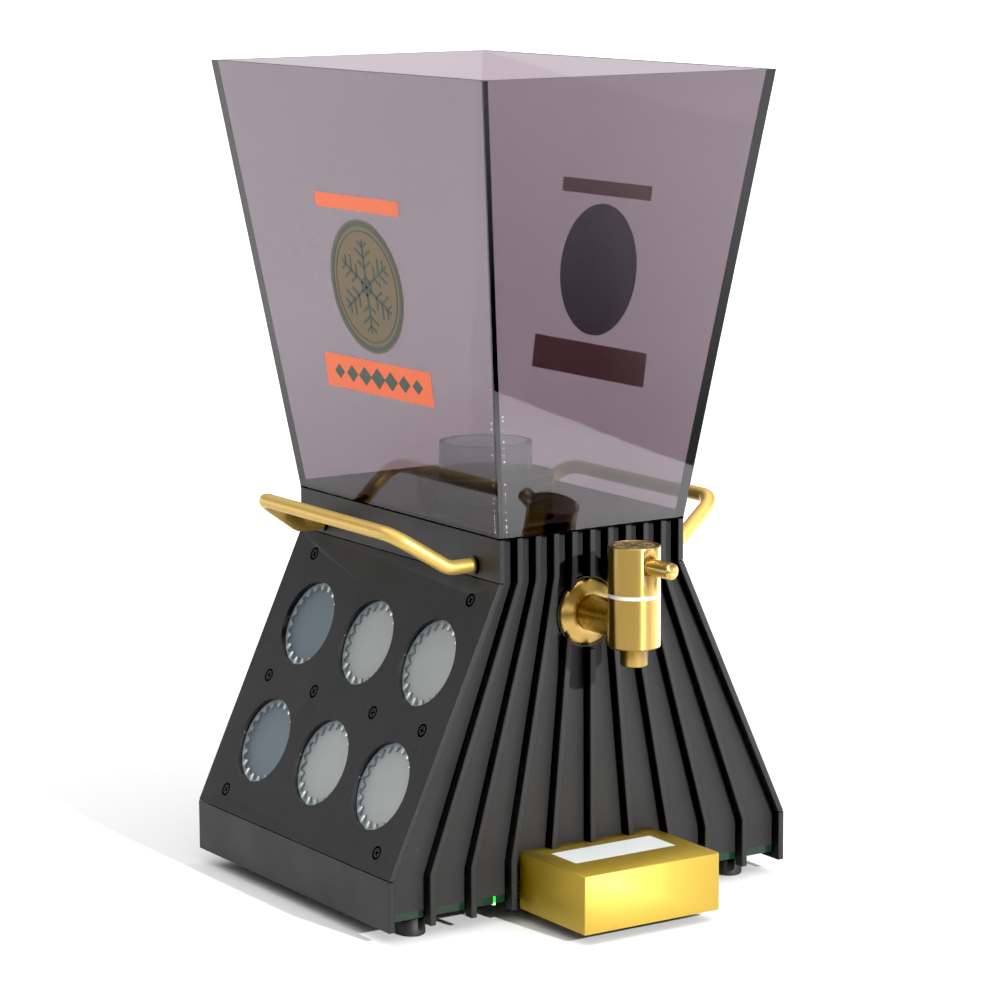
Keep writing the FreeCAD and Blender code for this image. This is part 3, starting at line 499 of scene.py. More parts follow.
@finish("abs_moulded_black")
def black_abs(tree):
    """Moulded ABS with a spark-eroded texture: black, with an even soft gloss."""
    surface(tree, base_color=mottle(tree, 10 * MM, "#101010", "#1c1c1c"), roughness=0.42,
            normal=grain(tree, 0.6 * MM, 0.02 * MM), ior=1.53)


@finish("glue_bubble_painted_glint")
def glue_bubble_painted_glint(tree):
    """Air bubbles in clear glue, drawn as painted glints: they glow white, turning rosy in the smoke."""
    tone = mottle(tree, 2 * MM, "#ffe6ea", "#ffffff")
    surface(tree, base_color=tone, emission_color=tone, roughness=0.2, emission_strength=1.6)


@finish("acetal_washer_white")
def white_acetal(tree):
    """Machined acetal: clean waxy white."""
    surface(tree, base_color=mottle(tree, 8 * MM, "#c6c2b8", "#d2cec5"), roughness=0.35,
            normal=grain(tree, 0.6 * MM, 0.008 * MM), ior=1.48)


@finish("circuit_board_green_solder_mask")
def circuit_board(tree):
    """Fibreglass board with green solder mask: glossy green over paler copper tracks."""
    tracks = add_node(tree, "ShaderNodeTexBrick", {
        "Vector": own_place(tree), "Scale": 1 / (10 * MM), "Mortar Size": 0.04,
        "Color1": rgba("#0f4a2a"), "Color2": rgba("#125533"), "Mortar": rgba("#2f7a4a"),
    }).outputs[0]
    surface(tree, base_color=tracks, roughness=mottle(tree, 10 * MM, 0.22, 0.32))


@finish("pvc_hose_clear")
def clear_hose(tree):
    """Extruded clear PVC: slightly milky, with a soft gloss."""
    surface(tree, base_color=mottle(tree, 20 * MM, "#d9dde0", "#eef1f3"),
            roughness=mottle(tree, 10 * MM, 0.12, 0.2), transmission_weight=0.8, ior=1.53)


@finish("brass_machined_and_nickel_plated")
def nickel(tree):
    """Machined brass, nickel-plated: warm silver with fine tool marks."""
    surface(tree, base_color=mottle(tree, 10 * MM, "#b9b3a8", "#cdc8bd"), roughness=0.22,
            normal=grain(tree, 0.5 * MM, 0.008 * MM), metallic=1.0)


@finish("stainless_steel_turned")
def stainless(tree):
    """Turned stainless steel: cool silver with level tool rings."""
    surface(tree, base_color=mottle(tree, 10 * MM, "#a9adb0", "#c4c8ca"), roughness=0.25,
            normal=grain(tree, 0.5 * MM, 0.008 * MM, stretch=(0.05, 0.05, 1.0)), metallic=1.0)


@finish("battery_pack_pvc_heat_shrink_blue")
def battery_wrap(tree):
    """PVC heat-shrink wrap: blue, glossy and slightly puckered."""
    surface(tree, base_color=mottle(tree, 30 * MM, "#173c78", "#1f4c94"), roughness=0.25,
            normal=grain(tree, 6 * MM, 0.3 * MM), ior=1.54)


@finish("foil_bronze_printed")
def bronze_foil(tree):
    """Metallised foil, brown-tinted: a dull bronze with a faint crumple."""
    bronze = colours().badge_bronze
    surface(tree, base_color=mottle(tree, 10 * MM, shade(bronze, 0.8), bronze), roughness=0.4,
            normal=grain(tree, 1 * MM, 0.01 * MM), metallic=0.2)


@finish("foil_ink_dark_green")
def green_ink(tree):
    """Screen ink: dark green and flat, slightly uneven where it was pulled."""
    ink = colours().badge_green
    surface(tree, base_color=mottle(tree, 8 * MM, shade(ink, 0.8), ink),
            roughness=mottle(tree, 4 * MM, 0.42, 0.52))


@finish("foil_orange_printed")
def orange_foil(tree):
    """Orange vinyl foil: bright, with a soft satin face."""
    orange = colours().bar_orange
    surface(tree, base_color=mottle(tree, 20 * MM, shade(orange, 0.92), orange), roughness=0.42,
            normal=grain(tree, 1 * MM, 0.006 * MM), ior=1.5)


@finish("foil_back_black")
def foil_back(tree):
    """Black backing under the badge, seen through the wall from the other side."""
    surface(tree, base_color=mottle(tree, 20 * MM, "#1c1b26", "#282634"),
            roughness=mottle(tree, 10 * MM, 0.4, 0.5))


@finish("foil_back_dark_red_painted_glow")
def red_back(tree):
    """Back of the orange foil, seen through the wall: its glue makes it a dark red, and a faint painted
    glow stands in for light that reaches it through the glass.
    """
    tone = mottle(tree, 20 * MM, "#a8281a", "#b83020")
    # painted glow: emission in place of the light that comes through the tank wall
    surface(tree, base_color=tone, emission_color=tone, emission_strength=0.3,
            roughness=mottle(tree, 10 * MM, 0.4, 0.5))


@finish("brass_etched_and_gold_washed")
def pale_etching(tree):
    """Etched brass under a thin gold wash: a dull, pale tan with a fine tooth."""
    surface(tree, base_color=mottle(tree, 3 * MM, "#9c8760", "#b7a077"), roughness=0.45,
            normal=grain(tree, 0.5 * MM, 0.02 * MM), metallic=0.6)


@finish("brass_etched_and_darkened")
def dark_etching(tree):
    """Etched and darkened brass: the lines of the knob's ornament."""
    surface(tree, base_color=mottle(tree, 3 * MM, "#3d3626", "#5a4e34"), roughness=0.5,
            normal=grain(tree, 0.5 * MM, 0.03 * MM), metallic=0.8)


@finish("seamless_paper_white")
def white_paper(tree):
    """Seamless background paper: matt white, lit brighter towards the back. What mirrors it
    from a distance sees it as the room is lit: a bright pool round the object, which ends
    along the ragged edge of the sheet in front on the right, and dimmer paper beyond."""
    place = own_place(tree)
    x, y, _ = add_node(tree, "ShaderNodeSeparateXYZ", {"Vector": place}).outputs
    surface(tree, base_color=mottle(tree, 300 * MM, "#e4e4e4", "#e9e9e9"), roughness=1.0,
            specular_ior_level=0.0, emission_color=WHITE,
            emission_strength=layered(tree, 0.0, [("ADD", y, 0.4, 2.0, 0.0, 0.6)]))
    reach = add_node(tree, "ShaderNodeVectorMath", {0: place}, operation="LENGTH").outputs["Value"]
    way = add_node(tree, "ShaderNodeVectorMath", {0: place}, operation="NORMALIZE").outputs[0]
    edge, window, lamp = [
        add_node(tree, "ShaderNodeVectorMath", {0: source, 1: toward},
                 operation="DOT_PRODUCT").outputs["Value"]
        for source, toward in (
            (place, (0.884, -0.467, 0)), (way, (0.94, -0.342, 0)), (way, (-0.82, 0.572, 0)),
        )
    ]
    ragged = add_node(tree, "ShaderNodeTexNoise", {"Vector": place, "Scale": 1 / (50 * MM)})
    edge = layered(tree, edge, [("ADD", ragged.outputs[0], 0.0, 1.0, 0.0, 0.012)])
    level = layered(tree, 1.0, [
        ("MULTIPLY", reach, 0.75, 1.05, 1.0, 0.0),        # the pool and its ragged edge
        ("MULTIPLY", edge, 0.682, 0.686, 1.0, 0.0),
        ("MULTIPLY", x, -0.1, 0.25, 0.5, 3.4),
        ("ADD", reach, 0.85, 1.5, 0.06, 0.62),            # the dimmer paper round it
        ("ADD", window, 0.8, 0.95, 0.0, 1.8),
        ("ADD", lamp, 0.93, 0.99, 0.0, 0.5),
        ("ADD", x, 0.5, 0.9, 0.0, 0.8),
        ("ADD", y, 0.5, 0.9, 0.0, 1.0),
        ("ADD", reach, 3.0, 8.0, 0.0, 1.3),
    ])
    room = add_node(tree, "ShaderNodeEmission", {"Strength": level}).outputs[0]
    mirrored = add_node(tree, "ShaderNodeLightPath").outputs["Is Reflection Ray"]
    share = layered(tree, mirrored, [("MULTIPLY", reach, 0.45, 0.6, 0.0, 1.0)])
    paper = tree.nodes["Principled BSDF"].outputs[0]
    seen = add_node(tree, "ShaderNodeMixShader", {0: share, 1: paper, 2: room}).outputs[0]
    tree.links.new(seen, tree.nodes["Material Output"].inputs["Surface"])


# --- Tank -----------------------------------------------------------------------------
class DISPENSER_OT_tank(bpy.types.Operator):
    """Smoked acrylic tank with glued mitres, and the clear bottle socket on its floor"""

    bl_idname = "dispenser.tank"
    bl_label = "Tank and bottle socket"

    def execute(self, context):
        glass = smoked_acrylic()
        gap = sizes().mitre_gap
        for wall, along in {"front": 0, "back": 0, "left": 1, "right": 1}.items():
            node = f"tank_{wall}_wall"
            self.parted(node, glass, gap, [along, 2])
            self.sawn_top(node, gap)
        self.parted("tank_floor", glass, gap, [0, 1, 2])
        for node in ("bottle_collar", "bottle_neck"):
            self.parted(node, clear_acrylic(), gap, [0, 1, 2])
        dress(black_foam_and_painted_shade(), "tank_gasket")
        self.bubbles()
        return {"FINISHED"}

    def sawn_top(self, node, gap):
        """Thin dark skin on a wall's upper edge, in the gap over its clear copy."""
        skin = solid_of(node)
        other = [face for face in skin.faces if face.normal.z < OUTWARD]
        bmesh.ops.delete(skin, geom=other, context="FACES")
        top = max(vertex.co.z for vertex in skin.verts)
        other = [vertex for vertex in skin.verts if top - vertex.co.z > gap]
        bmesh.ops.delete(skin, geom=other, context="VERTS")
        thicken(skin, top - 0.8 * gap, top)
        add_piece(f"{node}_edge", skin, "housing", sawn_edge(), "smoked_acrylic")

    def bubbles(self):
        """Small bubbles in the glue of the lower left front corner, a row in each wall."""
        chance = random.Random(4)
        wall = solid_of("tank_front_wall")
        foam = bmesh.new()
        outer = [vertex.co for vertex in wall.verts]
        foot = min(outer, key=lambda co: (round(co.z, 4), co.x + co.y)).copy()
        head = max(outer, key=lambda co: (round(co.z, 4), -co.x - co.y)).copy()
        wall.free()
        lowest, spread = 0.012, 0.3           # shares of the corner's height
        for inward in (Vector((5.5, 0.5, 0)) * MM, Vector((0.5, 4.6, 0)) * MM):
            for _ in range(sizes().bubble_count // 2):
                spot = foot.lerp(head, lowest + spread * chance.random() ** 2)
                size = sizes().bubble * chance.uniform(0.4, 1.0)
                ball = bmesh.new()
                bmesh.ops.create_icosphere(ball, subdivisions=1, radius=size)
                bmesh.ops.translate(ball, vec=spot + inward, verts=ball.verts)
                merge_into(foam, ball)
        add_piece("glue_bubbles", foam, "housing", glue_bubble_painted_glint())

    def parted(self, node, glass, gap, axes):
        """The node's solid, shorter by a gap at both ends of each axis."""
        low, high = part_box(node)
        share = Vector((1, 1, 1))
        for axis in axes:
            share[axis] = 1 - 2 * gap / (high[axis] - low[axis])
        shape = solid_of(node)
        space = Matrix.Translation(-centre_of(node))
        bmesh.ops.scale(shape, vec=share, space=space, verts=shape.verts)
        add_piece(f"{node}_clear", shape, "housing", glass, "smoked_acrylic", [node])


def outer_face(node, outward):
    """Centre and normal of the node's broad face that looks outward."""
    faces = [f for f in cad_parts[node].data.polygons if f.normal.dot(outward) > OUTWARD]
    area = sum(face.area for face in faces)
    centre = sum((face.center * face.area for face in faces), Vector())
    normal = sum((face.normal * face.area for face in faces), Vector())
    return centre / area, normal.normalized()


# --- Badges ---------------------------------------------------------------------------
def flat_bar(width, height, up=0.0):
    """A rectangle as a new mesh, with its middle so far up in the plane of a foil."""
    shape = bmesh.new()
    bmesh.ops.create_grid(shape, x_segments=1, y_segments=1, size=0.5)
    bmesh.ops.scale(shape, vec=(width, height, 1), verts=shape.verts)
    bmesh.ops.translate(shape, vec=(0, up, 0), verts=shape.verts)
    return shape


def flat_disc(radius, segments=96):
    shape = bmesh.new()
    bmesh.ops.create_circle(shape, cap_ends=True, segments=segments, radius=radius)
    return shape


def flat_ring(outer, inner, segments=96):
    shape = bmesh.new()
    for radius in (outer, inner):
        bmesh.ops.create_circle(shape, segments=segments, radius=radius)
    bmesh.ops.bridge_loops(shape, edges=shape.edges)
    return shape


def merge_into(target, part, turn=0.0):
    """Adds a part's mesh to the target, turned about the foil's centre."""
    bmesh.ops.rotate(part, cent=(0, 0, 0), matrix=Matrix.Rotation(turn, 3, "Z"), verts=part.verts)
    mesh = bpy.data.meshes.new("part")
    part.to_mesh(mesh)
    part.free()
    target.from_mesh(mesh)
    bpy.data.meshes.remove(mesh)


def ice_crystal(radius):
    """Six-armed ice crystal: each arm carries three pairs of barbs, with a hexagon inside."""
    crystal = bmesh.new()
    arm = radius * 0.055
    for index in range(6):
        turn = index * math.pi / 3
        merge_into(crystal, flat_bar(arm, radius * 0.9, radius * 0.45), turn)
        for share, reach in ((0.36, 0.24), (0.56, 0.30), (0.76, 0.18)):
            for side in (-1, 1):
                barb = flat_bar(arm * 0.85, radius * reach, radius * reach / 2)
                lean = Matrix.Rotation(side * math.pi / 3, 3, "Z")
                bmesh.ops.rotate(barb, cent=(0, 0, 0), matrix=lean, verts=barb.verts)
                bmesh.ops.translate(barb, vec=(0, radius * share, 0), verts=barb.verts)
                merge_into(crystal, barb, turn)
    merge_into(crystal, flat_ring(radius * 0.2, radius * 0.13, 6))
    return crystal


def diamonds(width, height, count):
    """A row of diamonds, largest in the middle."""
    row = bmesh.new()
    pitch = width / count
    for index in range(count):
        place = index - (count - 1) / 2
        size = height * (1 - 0.35 * abs(place) / (count / 2))
        diamond = bmesh.new()
        bmesh.ops.create_circle(diamond, cap_ends=True, segments=4, radius=size / 2)
        bmesh.ops.scale(diamond, vec=(1.25, 1, 1), verts=diamond.verts)
        bmesh.ops.translate(diamond, vec=(place * pitch, 0, 0), verts=diamond.verts)
        merge_into(row, diamond)
    return row


def thicken(shape, low, high):
    """Makes flat faces a plate between two heights over the wall."""
    for vertex in shape.verts:
        vertex.co.z = low
    bmesh.ops.recalc_face_normals(shape, faces=shape.faces)
    for face in list(shape.faces):
        if face.normal.z < 0:
            face.normal_flip()
    made = bmesh.ops.extrude_face_region(shape, geom=shape.faces[:], use_keep_orig=True)
    bmesh.ops.translate(shape, vec=(0, 0, high - low), verts=new_corners(made))
    bmesh.ops.recalc_face_normals(shape, faces=shape.faces)


class DISPENSER_OT_badges(bpy.types.Operator):
    """Foil decoration on both sides of the tank: a round badge between two orange bars"""

    bl_idname = "dispenser.badges"
    bl_label = "Side decoration"

    def execute(self, context):
        for side in SIDES:
            self.decorate(side)
        return {"FINISHED"}

    def decorate(self, side):
        size = sizes()
        centre, normal = outer_face(f"tank_{side}_wall", Vector((-1 if side == "left" else 1, 0, 0)))
        level = Vector((0, 0, 1)).cross(normal).normalized()
        slope = normal.cross(level)
        half = size.badge_width / 2
        badge_at = (size.badge_height - centre.z) / slope.z
        upper_at = badge_at + half + size.bar_gap + size.upper_bar_height / 2
        lower_at = badge_at - half - size.bar_gap - size.lower_bar_height / 2

        wall_axes = Matrix((level, slope, normal)).transposed().to_4x4()

        def place(name, shape, up, layer, finishes):
            """Lays a foil so far up the wall; its back has the second finish, if there are two."""
            thicken(shape, layer * size.foil, (layer + 1) * size.foil)
            for face in shape.faces:
                face.material_index = int(len(finishes) > 1 and face.normal.z < -OUTWARD)
            on_wall = Matrix.Translation(centre + slope * up) @ wall_axes
            bmesh.ops.transform(shape, matrix=on_wall, verts=shape.verts)
            add_piece(f"{side}_{name}", shape, "housing", finishes)

        ground, printed = 0.3, 1.4                    # heights over the wall, in foils
        bronze = [bronze_foil(), foil_back()]
        orange = [orange_foil(), red_back()]
        green = [green_ink()]
        place("badge_ground", flat_disc(half), badge_at, ground, bronze)
        place("badge_border", flat_ring(half * 0.97, half * 0.90), badge_at, printed, green)
        place("badge_inner_ring", flat_ring(half * 0.84, half * 0.82), badge_at, printed, green)
        place("badge_crystal", ice_crystal(half * 0.78), badge_at, printed, green)
        place("upper_bar", flat_bar(size.upper_bar_width, size.upper_bar_height), upper_at, ground, orange)
        place("lower_bar", flat_bar(size.lower_bar_width, size.lower_bar_height), lower_at, ground, orange)
        row = diamonds(size.lower_bar_width * 0.86, size.lower_bar_height * 0.62, 7)
        place("lower_bar_diamonds", row, lower_at, printed, green)


# --- Base -----------------------------------------------------------------------------
class DISPENSER_OT_base(bpy.types.Operator):
    """Charcoal sheets, ribs and deck, the green base plate, and the rubber feet"""

    bl_idname = "dispenser.base"
    bl_label = "Ribbed base"

    def execute(self, context):
        charcoal = charcoal_sheet()
        sheets = [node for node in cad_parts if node.startswith("front_rib")]
        sheets += ["front_plate", "back_plate", "back_ribs", "top_deck"]
        flat = math.radians(15)
        for side in SIDES:
            sheets += [f"{side}_skirt", f"{side}_top_band"]
            polished_copy(f"{side}_lamp_panel", "housing", charcoal, "charcoal_panel",
                          sizes().edge_break, flat)
        dress(charcoal, *sheets)
        dress(green_sheet(), "base_plate")
        polished_copy("feet", "housing", black_rubber(), "black_rubber")
        dress(green_guide(), "pilot_lamp")
        return {"FINISHED"}


# --- Lamps ----------------------------------------------------------------------------
def panel_outward(side):
    """Direction in which a side's lamp panel looks."""
    way = Vector((-0.92 if side == "left" else 0.92, 0, 0.39))
    return outer_face(f"{side}_lamp_panel", way)[1]


def facing(place, outward):
    """Matrix that sets a shape on a place: its +X to the front, its +Z outward."""
    front = Vector((0, -1, 0))
    along = outward.cross(front)
    turned = Matrix((front, along, outward)).transposed()
    return Matrix.Translation(place) @ turned.to_4x4()


def lens_centres(side):
    """Centres of the backs of a side's lenses, and the way they look."""
    outward = panel_outward(side)
    lenses = solid_of(f"{side}_lenses")
    centres = []
    for part in loose_parts(lenses):
        low = min(vertex.co.dot(outward) for vertex in part)
        back = [vertex.co for vertex in part if vertex.co.dot(outward) - low < LEVEL]
        centres.append(sum(back, Vector()) / len(back))
    lenses.free()
    return centres, outward


def fluted_lens(size, mirrored):
    """Lens disc with a frosted well in it, whose wall is fluted; the teeth carry attributes
    for their painted glints and their lines of painted shade."""
    waves, turns = 8, size.flute_count
    middle = (size.flute_outer + size.flute_inner) / 2
    swing = (size.flute_outer - size.flute_inner) / 2
    top, well, lip = size.lens_flange, size.lens_flange - size.lens_well, 0.3 * MM
    # the last column is painted shade along the foot and top of the flute wall
    loops = (                                          # radius, wave, height, line
        (middle - lip, swing, well, 0.0),
        (middle, swing, well, 1.0),
        (middle + 0.15 * MM, swing, (well + top) / 2, 0.1),
        (middle + lip, swing, top, 1.0),
        (middle + 2 * lip, swing, top, 0.0),
        (size.lens_radius, 0, top, 0.0),
        (size.lens_radius, 0, 0, 0.0),
    )
    lens = bmesh.new()
    painted_glint = lens.verts.layers.float.new("painted_glint")
    painted_shade_line = lens.verts.layers.float.new("painted_shade_line")
    made = bmesh.ops.create_circle(lens, segments=waves * turns, radius=1)["verts"]
    ring = {edge for vertex in made for edge in vertex.link_edges}
    ends = [ring]
    for index, (radius, wave, height, dark) in enumerate(loops):
        if index:
            made = set(new_corners(bmesh.ops.extrude_edge_only(lens, edges=list(ring))))
            ring = {edge for vertex in made for edge in vertex.link_edges if made.issuperset(edge.verts)}
        for vertex in made:
            angle = math.atan2(vertex.co.y, vertex.co.x)
            reach = radius + wave * math.cos(turns * angle)
            vertex.co = Vector((math.cos(angle) * reach, math.sin(angle) * reach, height))
            vertex[painted_shade_line] = dark
            vertex[painted_glint] = 0.0
            # the rim's lands carry the painted glints
            if index in (3, 4):
                vertex[painted_glint] = painted_glint_share(-angle if mirrored else angle, turns)
    ends.append(ring)
    for face in lens.faces:
        face.material_index = 1
    for ring in ends:
        for face in bmesh.ops.contextual_create(lens, geom=list(ring))["faces"]:
            face.material_index = 0
    bmesh.ops.recalc_face_normals(lens, faces=lens.faces)
    return lens


def painted_glint_share(angle, turns):
    """How strongly a tooth's glint is painted: most at the upper front and at the foot of a lens."""
    upper = max(0.0, math.cos(angle - math.radians(52))) ** 5
    lower = max(0.0, math.cos(angle + math.radians(112))) ** 6
    tooth = max(0.0, -math.cos(turns * angle)) ** 3
    return min(1.0, (upper + lower) * tooth)


class DISPENSER_OT_lamps(bpy.types.Operator):
    """Fluted, frosted lenses, and what lies behind them"""

    bl_idname = "dispenser.lamps"
    bl_label = "Lamps"

    def execute(self, context):
        for side in SIDES:
            centres, outward = lens_centres(side)
            lenses, marks = bmesh.new(), bmesh.new()
            for centre in centres:
                lens, mark = fluted_lens(sizes(), side == "right"), self.lead_in_mark(sizes())
                for group, shape in ((lenses, lens), (marks, mark)):
                    bmesh.ops.transform(shape, matrix=facing(centre, outward), verts=shape.verts)
                    merge_into(group, shape)
            node = f"{side}_lenses"
            finishes = [frosted_lens(), lens_teeth()]
            add_piece(f"{node}_fluted", lenses, "housing", finishes, "frosted_lens", [node])
            add_piece(f"{side}_window_marks", marks, "housing", sawn_edge())
            dress(black_abs(), f"{side}_lamp_tray")
            dress(circuit_board(), f"{side}_led_board")
        return {"FINISHED"}

    def lead_in_mark(self, size):
        """Nick where the laser entered a window, on the window's rear wall."""
        window = size.lens_radius - 2.5 * MM          # the flange is that much wider
        top = size.lens_flange + 2.7 * MM             # just inside the panel's face
        mark = bmesh.new()
        bmesh.ops.create_cube(mark, size=1.0)
        bmesh.ops.scale(mark, vec=(0.2 * MM, 0.8 * MM, size.mark_length), verts=mark.verts)
        bmesh.ops.translate(mark, vec=(-window, 0, top - size.mark_length / 2), verts=mark.verts)
        return mark


# --- Screws ---------------------------------------------------------------------------
class DISPENSER_OT_screws(bpy.types.Operator):
    """Countersunk cross-head screws in the lamp panels, and the handles' fixings"""

    bl_idname = "dispenser.screws"
    bl_label = "Screws"

    def execute(self, context):
        screws = solid_of("panel_screws")
        heads, shade_rings = bmesh.new(), bmesh.new()
        for index, part in enumerate(loose_parts(screws)):
            self.add_screw(heads, shade_rings, part, index)
        screws.free()
        add_piece("panel_screw_painted_shade", shade_rings, "housing", black_foam_and_painted_shade())
        finishes = [black_steel(), black_foam_and_painted_shade()]
        add_piece("panel_screws_crossed", heads, "housing", finishes, "black_screw", ["panel_screws"])
        polished_copy("handle_fixings", "housing", black_steel(), "black_screw")
        return {"FINISHED"}

    def add_screw(self, heads, shade_rings, part, index):
        """One screw on the axis and of the size of a packed screw's solid, and a black ring of painted
        shade round it.
        """
        size = sizes()
        outward = panel_outward("right" if part[0].co.x > 0 else "left")
        heights = [vertex.co.dot(outward) for vertex in part]
        top = max(heights)
        rim = [vertex.co for vertex, height in zip(part, heights) if top - height < LEVEL]
        middle = sum(rim, Vector()) / len(rim)
        radius = max((corner - middle).length for corner in rim) - size.screw_play
        screw = cross_head(radius, size.recess_depth, top - min(heights) - size.screw_sink)
        spin = Matrix.Rotation(random.Random(index).uniform(0, math.pi / 2), 4, "Z")
        sunk = facing(middle - outward * size.screw_sink, outward)
        # painted shade ring on the panel round the head
        painted_shade_ring = flat_ring(size.screw_shade_radius, radius, 32)
        thicken(painted_shade_ring, -0.1 * MM, 0.04 * MM)
        for group, shape, place in ((heads, screw, sunk @ spin), (shade_rings, painted_shade_ring, facing(middle, outward))):
            bmesh.ops.transform(shape, matrix=place, verts=shape.verts)
            merge_into(group, shape)


def cross_head(radius, recess, depth):
    """Countersunk screw, its top at zero: a grid drawn into a disc, with a cross sunk in it."""
    cells = 7
    arm, reach = 1.0 / cells, 5.0 / cells         # half width and half length of the cross
    shank = radius / 2
    screw = bmesh.new()
    bmesh.ops.create_grid(screw, x_segments=cells, y_segments=cells, size=1)
    cross = []
    for face in screw.faces:
        x, y = abs(face.calc_center_median().x), abs(face.calc_center_median().y)
        if min(x, y) < arm and max(x, y) < reach:
            cross.append(face)
    for vertex in screw.verts:
        x, y = vertex.co.x, vertex.co.y
        vertex.co.x = radius * x * math.sqrt(1 - y * y / 2)
        vertex.co.y = radius * y * math.sqrt(1 - x * x / 2)
    floor = new_corners(bmesh.ops.extrude_face_region(screw, geom=cross))
    bmesh.ops.translate(screw, vec=(0, 0, -recess), verts=floor)
    bmesh.ops.scale(screw, vec=(0.75, 0.75, 1), verts=floor)
    # painted shade: the cross recess's floor and walls are drawn deep black
    for face in screw.faces:
        face.material_index = int(any(vertex in floor for vertex in face.verts))
    bmesh.ops.delete(screw, geom=cross, context="FACES_ONLY")
    for drop in (radius / 2, depth - radius / 2):
        rim = [edge for edge in screw.edges if edge.is_boundary]
        lower = new_corners(bmesh.ops.extrude_edge_only(screw, edges=rim))
        bmesh.ops.translate(screw, vec=(0, 0, -drop), verts=lower)
        for vertex in lower:
            vertex.co.x, vertex.co.y = vertex.co.xy.normalized() * shank
    bmesh.ops.contextual_create(screw, geom=[edge for edge in screw.edges if edge.is_boundary])
    bmesh.ops.recalc_face_normals(screw, faces=screw.faces)
    return screw


# --- Tap ------------------------------------------------------------------------------
class DISPENSER_OT_tap(bpy.types.Operator):
    """Turned gold tap: body and spout, white washer, knob with its lever, and rosette"""

    bl_idname = "dispenser.tap"
    bl_label = "Tap"

    def execute(self, context):
        self.body()
        polished_copy("tap_rosette", "housing", turned_level(), "polished_gold")
        polished_copy("tap_ring", "housing", white_acetal(), "white_plastic")
        polished_copy("tap_backing", "housing", black_abs(), "black_plastic")
        polished_copy("tap_knob", "tap_handle", turned_gold(), "polished_gold")
        flat = math.radians(18)
        polished_copy("tap_lever", "tap_handle", turned_level(), "polished_gold", crease=flat)
        polished_copy("tap_spindle", "tap_handle", stainless(), "steel_spindle")
        dress(nickel(), "tap_nut", "outlet_nut")
        polished_copy("outlet_fitting", "housing", nickel(), "nickel_fitting")
        polished_copy("supply_hose", "housing", clear_hose(), "clear_hose")
        self.ornament()
        return {"FINISHED"}

    def body(self):
        """Body and spout, turned upright; the inlet behind them was turned on the level."""
        shape = solid_of("tap_body")
        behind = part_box("tap_ring")[1].y
        for face in shape.faces:
            face.material_index = int(face.calc_center_median().y > behind)
        finishes = [turned_gold(), turned_level()]
        add_piece("tap_body_finished", shape, "housing", finishes, "polished_gold", ["tap_body"])

    def ornament(self):
        """Dark etched ice crystal on a pale field in the knob's top."""
        low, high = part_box("tap_knob")
        centre = centre_of("tap_knob")
        centre.z = high.z
        radius = (high.x - low.x) / 2 - 1.8 * MM      # within the knob's raised rim

        def inlay(name, shape, bottom, top, *look):
            thicken(shape, bottom, top)
            bmesh.ops.translate(shape, vec=centre, verts=shape.verts)
            add_piece(name, shape, "tap_handle", *look)

        field = flat_disc(radius - 0.1 * MM)
        inlay("knob_field", field, -0.45 * MM, -0.3 * MM, pale_etching(), "polished_gold")
        lines = ice_crystal(radius * 0.86)
        merge_into(lines, flat_ring(radius * 0.97, radius * 0.90))
        inlay("knob_ornament", lines, -0.3 * MM, -0.2 * MM, dark_etching())


# --- Handles --------------------------------------------------------------------------
class DISPENSER_OT_handles(bpy.types.Operator):
    """Two bent, satin gold carrying bars"""

    bl_idname = "dispenser.handles"
    bl_label = "Handles"

    def execute(self, context):
        for side in SIDES:
            polished_copy(f"{side}_handle", "housing", satin_gold(), "satin_gold")
        return {"FINISHED"}


# --- Glass stand ----------------------------------------------------------------------
class DISPENSER_OT_stand(bpy.types.Operator):
    """Brushed gold glass stand with its lit window"""

    bl_idname = "dispenser.stand"
    bl_label = "Glass stand"

    def execute(self, context):
        polished_copy("stand_shell", "housing", brushed_gold(), "brushed_gold")
        dress(lit_window(), "stand_window")
        dress(black_abs(), "stand_cover")
        dress(circuit_board(), "stand_board")
        return {"FINISHED"}


# --- Power ----------------------------------------------------------------------------
class DISPENSER_OT_power(bpy.types.Operator):
    """Switch, charging inlet, battery and control board"""

    bl_idname = "dispenser.power"
    bl_label = "Power"

    def execute(self, context):
        dress(black_abs(), "switch_housing", "switch_rocker")
        polished_copy("charge_inlet", "housing", black_abs(), "black_plastic")
        dress(battery_wrap(), "battery_pack")
        dress(circuit_board(), "control_board")
        return {"FINISHED"}


